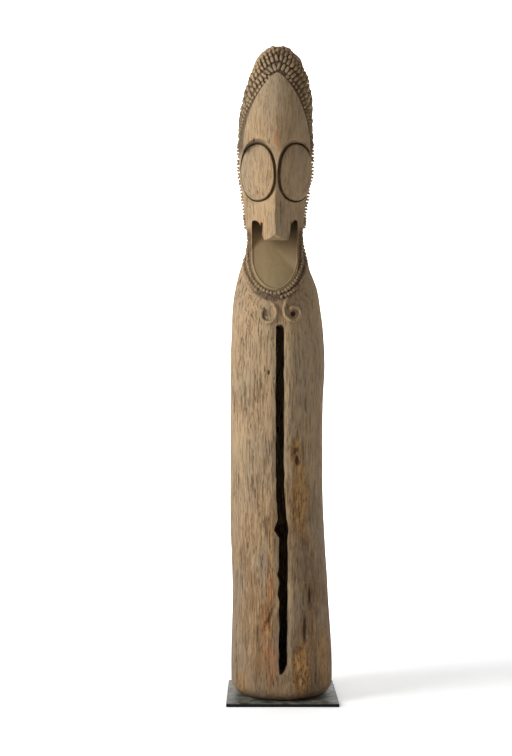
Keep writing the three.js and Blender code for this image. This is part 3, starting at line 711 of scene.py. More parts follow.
@dataclass(frozen=True)
class Nose:
    """Keeled bar under the cheeks, with a slot cut through from side to side.

    Attributes:
        middle: Sideways middle in shares.
        half_width: Half its width at the cheeks, in shares.
        taper: Width at its underside as a part of that at the cheeks.
        arch: Rise of the arches beside the nose, in shares.
        slot: Height of the slot, in metres.
        slot_from: Front end of the slot, in shares.
        slot_to: Back end of the slot, in shares.
        into_cheek: How far the slot's cutter reaches above the cheeks' underside.
    """

    middle: float = -5.3
    half_width: float = 24.0
    taper: float = 0.76
    arch: float = 7.0
    slot: float = 0.02
    slot_from: float = -50.0
    slot_to: float = -22.8
    into_cheek: float = 0.003

    def underside(self) -> list[tuple[float, float]]:
        """Lobed underside, front to back: y in shares and level."""
        return [(-120, 713), (-82, 713), (-76, 708.6), (-73, 706.5), (-68, 704.7), (-64, 704), (-55, 703.3),
                (-46, 705), (-37, 708.5), (-25, 715), (-15.3, 723), (8, 736)]

    def bar(self) -> bpy.types.Object:
        """Extrudes the side outline and narrows it towards its underside."""
        outline = [(y * SHARE, FORM.height(at)) for y, at in [*self.underside(), (8, 776), (-120, 776)]]
        middle, half = FORM.beside(self.middle), self.half_width * SHARE

        def narrowed(points: np.ndarray) -> np.ndarray:
            """Draws the sides in below the cheeks."""
            narrow = 1 - (1 - self.taper) * eased(FORM.level(points[:, 2]), 728, 703)
            points[:, 0] = middle + (points[:, 0] - middle) * narrow
            return points

        return reshaped(side_prism("nose_bar", outline, middle - half, middle + half), narrowed)

    def slot_cutter(self) -> bpy.types.Object:
        """Slanted slot whose roof is the underside of the cheeks."""
        def at(y: float, below: float) -> tuple[float, float]:
            """Point below the cheeks at a depth in shares."""
            return y * SHARE, FORM.height(cheek_level(y)) - below

        ends = [(self.slot_from, -self.into_cheek), (self.slot_to, -self.into_cheek),
                (self.slot_to + 1, self.slot * 0.5), (self.slot_to, self.slot),
                (self.slot_from, self.slot), (self.slot_from - 1, self.slot * 0.5)]
        return side_prism("nose_slot", [at(y, below) for y, below in ends], -100 * SHARE, 100 * SHARE)

    def under_cheeks(self) -> bpy.types.Object:
        """Everything in front of the chin panel and under the cheeks, less the pierced nose bar.

        Returns:
            The solid to cut away from the head.
        """
        meet = (CHEEK_LEVEL + CHEEK_DEPTH * CHEEK_SLOPE - (CHIN_DEPTH + CHIN_LEAN * CHIN_LEVEL) * CHEEK_SLOPE)
        meet /= 1 - CHIN_LEAN * CHEEK_SLOPE
        chin = [(chin_depth(FORM.height(at)), FORM.height(at)) for at in (600.0, meet)]
        front = -130.0
        outline = [*chin, (front * SHARE, FORM.height(cheek_level(front))), (front * SHARE, FORM.height(600))]
        middle = FORM.beside(CHIN_AXIS)
        half = (CHIN_HALF_WIDTH + PANEL_CLEARANCE) * SHARE
        cutter = side_prism("under_cheeks", outline, middle - half, middle + half)
        bar = self.bar()
        worked(bar, [(Cut.AWAY, self.slot_cutter())])
        worked(cutter, [(Cut.COMMON, self.arches()), (Cut.AWAY, bar)])
        return cutter

    def arches(self) -> bpy.types.Object:
        """Round arch on each side of the nose: half ellipses in the front view, slanting up to the
        back with the cheeks' underside.

        Returns:
            The solid that limits the hollow.
        """
        outer = CHIN_HALF_WIDTH + PANEL_CLEARANCE
        angle = np.linspace(math.pi, 0, 17)
        sides = []
        for first, last in ((CHIN_AXIS - outer, self.middle - self.half_width),
                            (self.middle + self.half_width, CHIN_AXIS + outer)):
            x = (first + last) / 2 + (last - first) / 2 * np.cos(angle)
            sides.append(np.stack([x, CHEEK_LEVEL - self.arch * (1 - np.sin(angle))], axis=-1))
        left, right = sides
        low, high = 520.0, 776.0
        outline = np.concatenate([[[CHIN_AXIS - outer, low]], left, [[left[-1, 0], high]],
                                  [[right[0, 0], high]], right, [[CHIN_AXIS + outer, low]]])
        points = np.stack([FORM.beside(outline[:, 0]), np.zeros(len(outline)),
                           FORM.height(outline[:, 1] + CHEEK_DEPTH * CHEEK_SLOPE)], axis=-1)
        reach = 130 * SHARE
        return prism("cheek_arches", points, np.array([0, -reach, -reach * CHEEK_SLOPE]), np.zeros(3))


@dataclass(frozen=True)
class Eyes:
    """Oval discs set in deep sockets on both sides of the keel, sizes in shares. Their planes turn
    to the side, and their walls run straight to the front.

    Attributes:
        middle: Sideways middle of the head.
        out: Distance of a disc's middle from the middle of the head.
        level: Level of the discs' middles.
        depth: How far in front of the axis their middles are.
        half_width: Half width of the socket.
        half_height: Half height of the socket.
        groove: Mean width of the groove around the disc.
        shift: How far the disc lies outside the socket's middle.
        squareness: Power of the oval's sine and cosine; 1 is an ellipse.
        groove_depth: Depth of the socket's floor behind the disc's edge.
        yaw: Turn of a disc to its side, in degrees.
        tilt: Turn of a disc downwards, in degrees.
    """

    middle: float = HEAD_AXIS
    out: float = 28.2
    level: float = 808.5
    depth: float = 54.0
    half_width: float = 35.6
    half_height: float = 46.2
    groove: float = 3.6
    shift: float = 2.3
    squareness: float = 0.9
    groove_depth: float = 9.0
    yaw: float = 39.0
    tilt: float = 7.0

    def place(self, side: int, radial: np.ndarray, around: np.ndarray, height: np.ndarray,
              inset: float) -> np.ndarray:
        """Puts a turned oval form in its place beside the keel.

        Args:
            side: 1 for the viewer's right, -1 for the left.
            radial: Radius of each point as a part of the oval's.
            around: Angle of each point.
            height: Height of each point above the disc's plane, in shares.
            inset: How far the oval lies inside the socket's edge, in shares.

        Returns:
            Points in metres.
        """
        yaw = math.radians(self.yaw)
        out = unit(np.array([math.sin(yaw) * side, -math.cos(yaw), -math.tan(math.radians(self.tilt))]))
        along = np.array([math.cos(yaw), math.sin(yaw) * side, 0.0])
        up = np.cross(out, along)
        centre = np.array([FORM.beside(self.middle + self.out * side), -self.depth * SHARE,
                           FORM.height(self.level)])
        if inset > 0:
            centre = centre + along * side * self.shift * SHARE
        forward = np.array([0.0, 1.0 / out[1], 0.0])
        beside, above = (radial * np.sign(part) * np.abs(part) ** self.squareness
                         for part in (np.cos(around), np.sin(around)))
        wide = (beside * (self.half_width - inset) * SHARE)[..., None] * along
        tall = (above * (self.half_height - inset) * SHARE)[..., None] * up
        return centre + wide + tall + (height * SHARE)[..., None] * forward

    def turned(self, name: str, side: int, profile: np.ndarray, inset: float,
               columns: int = 96) -> bpy.types.Object:
        """Closed oval form from a profile of radius and height.

        Args:
            name: The object's name.
            side: 1 for the viewer's right, -1 for the left.
            profile: Radius and height of each ring, from the bottom's middle to the top's.
            inset: How far the oval lies inside the socket's edge, in shares.
            columns: Points around it.

        Returns:
            The linked object.
        """
        around = full_turn(columns)
        radial, turn = np.meshgrid(profile[:, 0], around, indexing="ij")
        height = np.broadcast_to(profile[:, 1:2], radial.shape)
        rings = self.place(side, radial, turn, height, inset)
        return lofted(name, rings)

    def socket(self, side: int) -> bpy.types.Object:
        """Deep oval hollow, a little wider at its mouth."""
        deep = -self.groove_depth
        mouth = 60.0
        profile = np.array([[0.3, deep], [0.95, deep], [0.985, deep + 1.5], [1.0, 0.0],
                            [1.03, mouth], [0.3, mouth]])
        return self.turned("eye_socket", side, profile, 0.0)

    def disc(self, side: int) -> bpy.types.Object:
        """Slightly crowned disc with a rounded edge and the marks of the adze."""
        edge = np.linspace(0, math.pi / 2, 9)
        rounded = np.stack([0.93 + 0.07 * np.cos(edge), -1.6 + 2.3 * np.sin(edge)], axis=-1)
        inner = np.linspace(0.9, 0.02, 26)
        crown = np.stack([inner, 0.7 + 2.1 * (1 - inner**2)], axis=-1)
        base = np.array([[0.3, -self.groove_depth - 2], [1.0, -self.groove_depth - 2], [1.0, -4.0]])
        yaw = math.radians(self.yaw)
        out = np.array([math.sin(yaw) * side, -math.cos(yaw), 0.0])

        def hewn(points: np.ndarray) -> np.ndarray:
            """Adds shallow tool marks and fine grain."""
            marks = 0.0009 * NOISE.at(points, (0.02, 0.02, 0.024))
            marks += 0.0006 * NOISE.at(points, (0.009, 0.009, 0.1))
            return points + marks[:, None] * out

        profile = np.concatenate([base, rounded, crown])
        return reshaped(self.turned("eye_disc", side, profile, self.groove), hewn)


@dataclass(frozen=True)
class Forehead:
    """Smooth pointed arch that stands proud of the hair, sizes in shares unless said otherwise.

    Attributes:
        proud: How far it stands out, in metres.
        middle: Sideways middle.
        top: Level of its point.
        spring: Level where its sides become straight.
        bottom: Level of its lower edge, hidden behind the eyes.
        half_width: Half its width at the spring.
        brow: Depths between which its lower edge slopes back into the ridge between the eyes.
        above_spring: How far above the spring that slope starts.
        worn: How far its plain surface lies below its greatest height, in metres.
        spare: Gap that its highest places keep to that height.
    """

    proud: float = 0.009
    middle: float = HEAD_AXIS
    top: float = ARCH_TOP
    spring: float = ARCH_SPRING
    bottom: float = ARCH_BOTTOM
    half_width: float = ARCH_HALF_WIDTH
    brow: tuple[float, float] = (-93.4, -82.2)
    above_spring: float = 10.0
    worn: float = 0.0012
    spare: float = 0.0003

    def pad(self) -> bpy.types.Object:
        """The log's own front, grown outwards and kept only inside the arch.

        Returns:
            The solid to join to the head.
        """
        level = np.linspace(self.bottom - 15, self.top + 12, 92)
        turn = full_turn(200)
        turns, levels = np.meshgrid(turn, level)
        plain = FORM.surface(turns, levels)
        grow = np.minimum(self.proud - self.worn + 0.8 * SKIN.relief(plain), self.proud - self.spare)
        rings = FORM.surface(turns, levels, grow)
        shell = lofted("forehead_pad", rings)
        t = 1 - (1 - np.linspace(0, 1, 40)) ** 1.6
        half = self.half_width * (1 - t**ARCH_POINT) ** ARCH_FULLNESS
        rise = self.spring + t * (self.top - self.spring)
        x = np.concatenate([[self.half_width], half, -half[-2::-1], [-self.half_width]])
        at = np.concatenate([[self.bottom], rise, rise[-2::-1], [self.bottom]])
        outline = np.stack([FORM.beside(self.middle + x), np.zeros_like(x), FORM.height(at)], axis=-1)
        arch = prism("forehead_arch", outline, np.array([0, -0.5, 0]), np.array([0, -22 * SHARE, 0]))
        front, foot = self.brow
        above, ahead, over = self.spring + self.above_spring, -130, 1010
        fade = [(0, self.bottom), (foot, self.bottom), (front, above), (ahead, above), (ahead, over),
                (0, over)]
        brow = side_prism("brow_fade", [(y * SHARE, FORM.height(at)) for y, at in fade], -0.3, 0.3)
        worked(shell, [(Cut.COMMON, arch), (Cut.COMMON, brow)])
        return shell


SKIN = LogSkin()


@dataclass(frozen=True)
class CarvedLog:
    """The log itself: weathered outside, face, slit and chamber, as one closed surface.

    Attributes:
        columns: Points around the log.
        crown: Level above which it rounds over to its top.
        proud: Greatest height of the relief, in metres.
        nose: The pierced nose bar.
        eyes: The discs and their sockets.
        forehead: The arch on the brow.
    """

    columns: int = 200
    crown: float = 985.0
    proud: float = 0.004
    nose: Nose = Nose()
    eyes: Eyes = Eyes()
    forehead: Forehead = Forehead()

    def outside(self) -> bpy.types.Object:
        """Grid over the form: rounded foot, coarse rows on the trunk, fine rows on the head.

        Returns:
            The closed outer surface with its relief.
        """
        corner = np.linspace(0, math.pi / 2, 9)
        foot = FOOT_ROUNDING * (1 - np.cos(corner)) / SHARE
        inset = FOOT_ROUNDING * (1 - np.sin(corner))
        trunk = np.linspace(foot[-1] + 3, 600, 158)
        head = np.linspace(601.6, self.crown, 232)
        crown = self.crown + (TOP_LEVEL - self.crown) * np.sin(np.linspace(0.08, math.pi / 2, 14))
        levels = np.concatenate([foot, trunk, head, crown])
        shrink = np.concatenate([-inset, np.zeros(len(levels) - len(foot))])
        turn = full_turn(self.columns)
        turns, rows = np.meshgrid(turn, levels)
        plain = FORM.surface(turns, rows, shrink[:, None])
        fade = np.minimum(1, (levels - foot[0]) / 12) * eased(levels, TOP_LEVEL + 3, self.crown)
        grow = shrink[:, None] + SKIN.relief(plain) * fade[:, None]
        return lofted("log", FORM.surface(turns, rows, np.minimum(grow, self.proud)))

    def build(self) -> bpy.types.Object:
        """Carves the face, the slit and the chamber out of the grid.

        Returns:
            The finished log.
        """
        log = self.outside()
        steps = [(Cut.JOIN, self.forehead.pad()), (Cut.AWAY, self.nose.under_cheeks())]
        for side in (-1, 1):
            steps += [(Cut.AWAY, self.eyes.socket(side)), (Cut.JOIN, self.eyes.disc(side))]
        steps += [(Cut.AWAY, SLIT.chamber()), (Cut.AWAY, SLIT.cutter())]
        worked(log, steps)
        crisp(log, 42.0)
        return log


def along_path(points: np.ndarray) -> tuple[np.ndarray, np.ndarray]:
    """Unit tangents of a line of points, and the distance travelled to each point."""
    tangent = unit(np.gradient(points, axis=0))
    steps = np.linalg.norm(np.diff(points, axis=0), axis=1)
    return tangent, np.concatenate([[0.0], np.cumsum(steps)])


def swept(points: np.ndarray, outs: np.ndarray, width: np.ndarray, height: np.ndarray, sunk: float,
          section: int = 11) -> np.ndarray:
    """Rings of a raised band: a flattened half round above the wood and a plain foot below it.

    Args:
        points: Line of places on the wood.
        outs: Outward direction at each place.
        width: Width of the band at each place.
        height: Height of the band at each place.
        sunk: Depth of its foot below the wood.
        section: Points in each ring.

    Returns:
        Array of rings for lofted.
    """
    tangent, _ = along_path(points)
    side = unit(np.cross(outs, tangent))
    angle = np.linspace(0, math.pi, section - 2)
    across = np.concatenate([[0.5], 0.5 * np.sign(np.cos(angle)) * np.abs(np.cos(angle)) ** 0.6, [-0.5]])
    above = np.concatenate([[0.0], np.sin(angle) ** 0.6, [0.0]])
    foot = np.zeros(section)
    foot[[0, -1]] = -sunk
    return (points[:, None] + (width[:, None] * across)[..., None] * side[:, None]
            + (height[:, None] * above + foot)[..., None] * outs[:, None])


@dataclass(frozen=True)
class HairRow:
    """One row of carved locks, from the middle of the crown down behind the eye to the neck.

    Attributes:
        width: Size of a lock across the row, in metres.
        height: How far a lock stands out.
        points: Turns from the front in degrees, and levels, along the row.
        pitch: Distance between locks down the side, in metres.
        first: Place of the first lock, in pitches.
    """

    width: float
    height: float
    points: tuple[tuple[float, float], ...]
    pitch: float = 0.0238
    first: float = 0.0


HAIR_ROWS = (
    HairRow(0.025, 0.0085, ((0, 964), (14, 961), (30, 950), (52, 930), (88, 888), (98.5, 857), (104, 819),
                           (108, 779), (113, 717))),
    HairRow(0.021, 0.010, ((0, 978), (14, 975), (33, 965), (60, 942), (101, 888), (110, 845), (118, 807),
                           (123, 767), (126, 717)), first=0.5),
    HairRow(0.016, 0.010, ((0, 989), (14, 985.5), (33, 975.5), (66, 951), (110, 890), (119.5, 850),
                           (127, 802), (132, 755), (133, 707))),
    HairRow(0.014, 0.011, ((83, 856), (88, 845), (93, 791), (95, 755), (91, 728)), pitch=0.0115),
    HairRow(0.018, 0.008, ((18, 993), (32, 986), (50, 974), (74, 955), (98, 924)), pitch=0.016),
    HairRow(0.012, 0.007, ((17, 948), (32, 935), (44, 920), (54, 905), (64, 890), (74, 875), (81, 862)),
            pitch=0.0125),
    HairRow(0.013, 0.008, ((51, 922), (61, 908), (71, 895), (80, 880), (88, 866), (91, 855)), pitch=0.0125),
)


def smooth_line(points: np.ndarray, count: int) -> np.ndarray:
    """Catmull-Rom curve through the points: a cubic whose slopes are those of the neighbours' chord.

    Args:
        points: Control points, one a row.
        count: Points wanted along the curve.

    Returns:
        Evenly numbered points of the curve.
    """
    padded = np.concatenate([2 * points[:1] - points[1:2], points, 2 * points[-1:] - points[-2:-1]])
    at = np.linspace(0, len(points) - 1, count)
    index = np.minimum(at.astype(int), len(points) - 2)
    t = (at - index)[:, None]
    a, b, c, d = (padded[index + k] for k in range(4))
    return 0.5 * (2 * b + (c - a) * t + (2 * a - 5 * b + 4 * c - d) * t**2 + (3 * b - 3 * c + d - a) * t**3)


@dataclass(frozen=True)
class HairLocks:
    """All carved locks as one piece.

    Attributes:
        crown_pitch: Distance between locks over the crown, in metres.
        fill: Part of the pitch that a lock fills.
        sunk: How deep a lock's foot lies in the wood.
        wear: Greatest part of its height that a lock has lost.
        left_wear: Further wear on the side that the weather meets.
        taller: Extra height of the locks over the crown, as a part.
        lean: How far those lean out over the brow, for each measure of height.
    """

    crown_pitch: float = 0.0152
    fill: float = 0.74
    sunk: float = 0.006
    wear: float = 0.35
    left_wear: float = 0.12
    taller: float = 0.35
    lean: float = 0.45

    def places(self, row: HairRow, side: int) -> tuple[np.ndarray, ...]:
        """Spreads locks along a row at a pitch that widens from the crown to the sides.

        Args:
            row: The row.
            side: 1 for the viewer's right, -1 for the left.

        Returns:
            Places, tangents, outward directions, pitches and turns.
        """
        control = np.array(row.points, dtype=float)
        control[:, 0] = np.radians(control[:, 0]) * side
        line = smooth_line(control, 600)
        path = FORM.surface(line[:, 0], line[:, 1])
        tangent, travelled = along_path(path)
        pitch = self.crown_pitch + (row.pitch - self.crown_pitch) * eased(np.abs(line[:, 0]), 0.6, 1.3)
        counted = np.concatenate([[0.0], np.cumsum(np.diff(travelled) / pitch[1:])])
        first = row.first if side > 0 or row.points[0][0] > 0 or row.first > 0 else 1.0
        wanted = np.arange(first, counted[-1])
        pick = np.clip(np.searchsorted(counted, wanted), 0, len(line) - 1)
        out = FORM.outward(line[pick, 0], line[pick, 1])
        return path[pick], tangent[pick], out, pitch[pick], np.abs(line[pick, 0])

    def build(self) -> bpy.types.Object:
        """Sets a block at every place, each a little worn, turned and leaning out over the brow.

        Returns:
            The piece with all the locks.
        """
        knob, knob_faces = stud(12, np.array([0.5, 0.5, 0.43, 0.275]), np.array([-1.0, 0.6, 0.92, 1.0]), 0.7)
        along, beside, up = knob.T
        rng = np.random.default_rng(5)
        points, faces = [], []
        for row in HAIR_ROWS:
            for side in (1, -1):
                centre, tangent, out, pitch, turn = self.places(row, side)
                count = len(centre)
                worn = 1 - self.wear * rng.random(count) ** 2 - (self.left_wear if side < 0 else 0.0)
                tangent = unit(tangent + 0.12 * rng.standard_normal((count, 3)))
                across = unit(np.cross(tangent, out)) * side
                crown = eased(turn, 1.2, 0.4)
                width = row.width * (1 + 0.1 * crown) * (0.92 + 0.16 * rng.random(count))
                height = row.height * worn * (1 + self.taller * crown)
                length = pitch * self.fill * (0.9 + 0.2 * rng.random(count))
                rise = np.where(up > 0, up * height[:, None], up * self.sunk)
                shift = beside * width[:, None] + np.maximum(rise, 0) * (self.lean * crown)[:, None]
                faces += copied(knob_faces, len(knob), count, sum(len(part) for part in points))
                parts = (along * length[:, None], shift, rise)
                points.append(in_frames(centre, (tangent, across, out), parts))
        locks = mesh_object("hair_locks", np.concatenate(points), faces)
        crisp(locks, 48.0)
        return locks


@dataclass(frozen=True)
class ChinCarving:
    """Raised border of the chin panel and the rows of beads outside it.

    Attributes:
        middle: Sideways middle in shares.
        half_width: Half width of the panel in shares.
        spring: Level where the straight sides end.
        bottom: Level of the lowest point of the border.
        leg_top: Level of the tops of the straight sides.
        rim_width: Width of the border, in metres.
        rim_proud: Height of the border.
        bead: Radius of a bead.
        pitch: Distance between beads.
        around: How far round the neck the beads reach, as a part of its half width.
        rows: Of each row of beads, the distance outside the border in metres, the angles where
            its round begins and ends in degrees, and the level where it ends on the neck.
    """

    middle: float = CHIN_AXIS
    half_width: float = CHIN_HALF_WIDTH
    spring: float = CHIN_SPRING
    bottom: float = CHIN_BOTTOM
    leg_top: float = 728.0
    rim_width: float = 0.0052
    rim_proud: float = 0.0036
    bead: float = 0.0066
    pitch: float = 0.0136
    around: float = 0.955
    rows: tuple[tuple[float, ...], ...] = (
        (0.017, 0.0, 90.0, 728.0), (0.017, 0.0, -90.0, 726.0),
        (0.0345, 12.0, 90.0, 712.0), (0.033, -36.0, -90.0, 705.0),
    )

    def border(self, angle: np.ndarray, offset: float = 0.0) -> tuple[np.ndarray, np.ndarray]:
        """U-shaped line: half width times sin(angle), and a drop by cos(angle) to the power 1.15.

        Args:
            angle: 0 at the bottom and 90 degrees where the straight sides start, in radians.
            offset: Distance outside the border, in metres.

        Returns:
            Sideways places and heights.
        """
        half = self.half_width * SHARE + offset
        drop = (self.spring - self.bottom) * SHARE + offset
        x = FORM.beside(self.middle) + half * np.sin(angle)
        return x, FORM.height(self.spring) - drop * np.abs(np.cos(angle)) ** 1.15

    def rim(self) -> bpy.types.Object:
        """Border along the straight sides and the U, lying on the leaning panel."""
        leg = np.linspace(self.leg_top, self.spring, 30)[:-1]
        x, z = self.border(np.linspace(-math.pi / 2, math.pi / 2, 90))
        left, right = (FORM.beside(self.middle + side * self.half_width) for side in (-1, 1))
        x = np.concatenate([np.full(len(leg), left), x, np.full(len(leg), right)])
        z = np.concatenate([FORM.height(leg), z, FORM.height(leg[::-1])])
        points = np.stack([x, chin_depth(z), z], axis=-1)
        outs = np.broadcast_to(unit(np.array([0.0, -1.0, -CHIN_LEAN])), points.shape)
        wobble = 1 + 0.18 * NOISE.at(points, (0.03, 0.03, 0.03))
        rings = swept(points, outs, self.rim_width * wobble, self.rim_proud * wobble, 0.006)
        return lofted("chin_rim", rings)

    def beads(self) -> bpy.types.Object:
        """Sets beads along lines outside the border, at one pitch.

        Returns:
            The piece with all the beads.
        """
        dome, dome_faces = stud(10, np.array([1.0, 1.0, 0.86, 0.5]), np.array([-0.6, 0.2, 0.62, 0.92]))
        rng = np.random.default_rng(8)
        spots = []
        for offset, start, end, top in self.rows:
            x, z = self.border(np.radians(np.linspace(start, end, 300)), offset)
            up = np.linspace(z[-1], FORM.height(top), 300)[1:]
            x = np.concatenate([x, np.full(len(up), x[-1])])
            z = np.concatenate([z, up])
            centre_x, half_width, *_ = FORM.section(FORM.level(z))
            x = np.clip(x, centre_x - self.around * half_width, centre_x + self.around * half_width)
            _, travelled = along_path(carved_front(x, z))
            pick = np.searchsorted(travelled, np.arange(0, travelled[-1], self.pitch))
            spots.append(np.stack([x[pick], z[pick]], axis=-1))
        x, z = np.concatenate(spots).T
        inside = np.abs(x - FORM.beside(self.middle)) < (self.half_width + PANEL_CLEARANCE) * SHARE
        plain = np.stack([x, front_depth(x, z), z], axis=-1)
        centre = np.where(inside[:, None], carved_front(x, z), plain)
        out = np.where(inside[:, None], out_of_front(x, z), out_of_front(x, z, cut=False))
        along = unit(np.cross(np.array([0.0, 0.0, 1.0]), out))
        across = np.cross(along, out)
        radius = self.bead * (0.88 + 0.24 * rng.random(len(x)))
        height = radius * (0.85 + 0.35 * rng.random(len(x)))
        parts = tuple(dome[:, k] * size[:, None] for k, size in enumerate((radius, radius, height)))
        points = in_frames(centre, (along, across, out), parts)
        return mesh_object("chin_beads", points, copied(dome_faces, len(dome), len(x)))


@dataclass(frozen=True)
class Spiral:
    """One raised spiral on the chest, sizes in shares.

    Attributes:
        x: Sideways middle.
        side: 1 for the viewer's right, -1 for the left.
        radius: Radius of the band's middle line.
        stretch: Height of the form as a part of its width.
        start: Angle where the band starts, in degrees.
        sweep: Angle that it runs through.
        shrink: Part of the radius that it loses on the way.
        lead: How far its start lies outside the round.
    """

    x: float
    side: int
    radius: float
    stretch: float
    start: float
    sweep: float
    shrink: float
    lead: float

    def build(self, name: str, width: float = 0.0125, proud: float = 0.0105) -> bpy.types.Object:
        """Sweeps a rounded band along a radius that shrinks with the square of the way along, and
        starts further out by the twelfth power of the way that is left.

        Args:
            name: The object's name.
            width: Width of the band, in metres.
            proud: Height of the band.

        Returns:
            The finished band.
        """
        t = np.linspace(0, 1, 110)
        angle = np.radians(self.start - self.sweep * t)
        reach = self.radius * (1 - self.shrink * t * t) + self.lead * (1 - t) ** 12
        x = FORM.beside(self.x - self.side * np.cos(angle) * reach)
        z = FORM.height(SPIRAL_LEVEL + np.sin(angle) * reach * self.stretch)
        points = carved_front(x, z)
        taper = eased(t, -0.06, 0.08) * eased(t, 1.06, 0.9)
        rings = swept(points, out_of_front(x, z), width * (0.6 + 0.4 * taper), proud * taper + 0.0005, 0.005)
        return lofted(name, rings)


SPIRALS = (
    Spiral(x=-18.6, side=-1, radius=13.4, stretch=1.25, start=72, sweep=304, shrink=0.45, lead=0),
    Spiral(x=19.9, side=1, radius=12.4, stretch=1.0, start=76, sweep=400, shrink=0.37, lead=14),
)


class Value:
    """A number that varies over a surface, so that shader maths reads as an expression."""

    def __init__(self, painter: "Painter", socket: bpy.types.NodeSocket) -> None:
        """Wraps a socket of the painter's tree."""
        self.painter = painter
        self.socket = socket

    def maths(self, operation: str, *others: "Value | float", first: "float | None" = None) -> "Value":
        """Adds a Math node.

        Args:
            operation: The node's operation.
            others: Further inputs after this value.
            first: A number that stands before this value.

        Returns:
            The node's result.
        """
        inputs = [self, *others] if first is None else [first, self, *others]
        node = self.painter.node("ShaderNodeMath", dict(enumerate(inputs)), operation=operation)
        return Value(self.painter, node.outputs[0])

    def __add__(self, other: "Value | float") -> "Value":
        """Sum."""
        return self.maths("ADD", other)

    __radd__ = __add__

    def __sub__(self, other: "Value | float") -> "Value":
        """Difference."""
        return self.maths("SUBTRACT", other)

    def __rsub__(self, other: float) -> "Value":
        """A number less this value."""
        return self.maths("SUBTRACT", first=other)

    def __mul__(self, other: "Value | float") -> "Value":
        """Product."""
        return self.maths("MULTIPLY", other)

    __rmul__ = __mul__

    def __truediv__(self, other: float) -> "Value":
        """Quotient."""
        return self.maths("DIVIDE", other)

    def __pow__(self, other: float) -> "Value":
        """Power."""
        return self.maths("POWER", other)

    def size(self) -> "Value":
        """The number without its sign."""
        return self.maths("ABSOLUTE")

    def top(self, other: "Value | float") -> "Value":
        """The greater of the two."""
        return self.maths("MAXIMUM", other)

    def under(self, other: "Value | float") -> "Value":
        """The smaller of the two."""
        return self.maths("MINIMUM", other)

    def graded(self, start: float, end: float, low: float = 0.0, high: float = 1.0) -> "Value":
        """Rises smoothly from low at start to high at end, and stays within them.

        Args:
            start: Value where the rise begins.
            end: Value where it ends.
            low: Result up to start.
            high: Result from end on.

        Returns:
            The graded value.
        """
        flip = start > end
        numbers = (end, start, high, low) if flip else (start, end, low, high)
        inputs = dict(zip(("From Min", "From Max", "To Min", "To Max"), numbers))
        node = self.painter.node("ShaderNodeMapRange", {"Value": self, **inputs},
                                 interpolation_type="SMOOTHSTEP")
        return Value(self.painter, node.outputs["Result"])


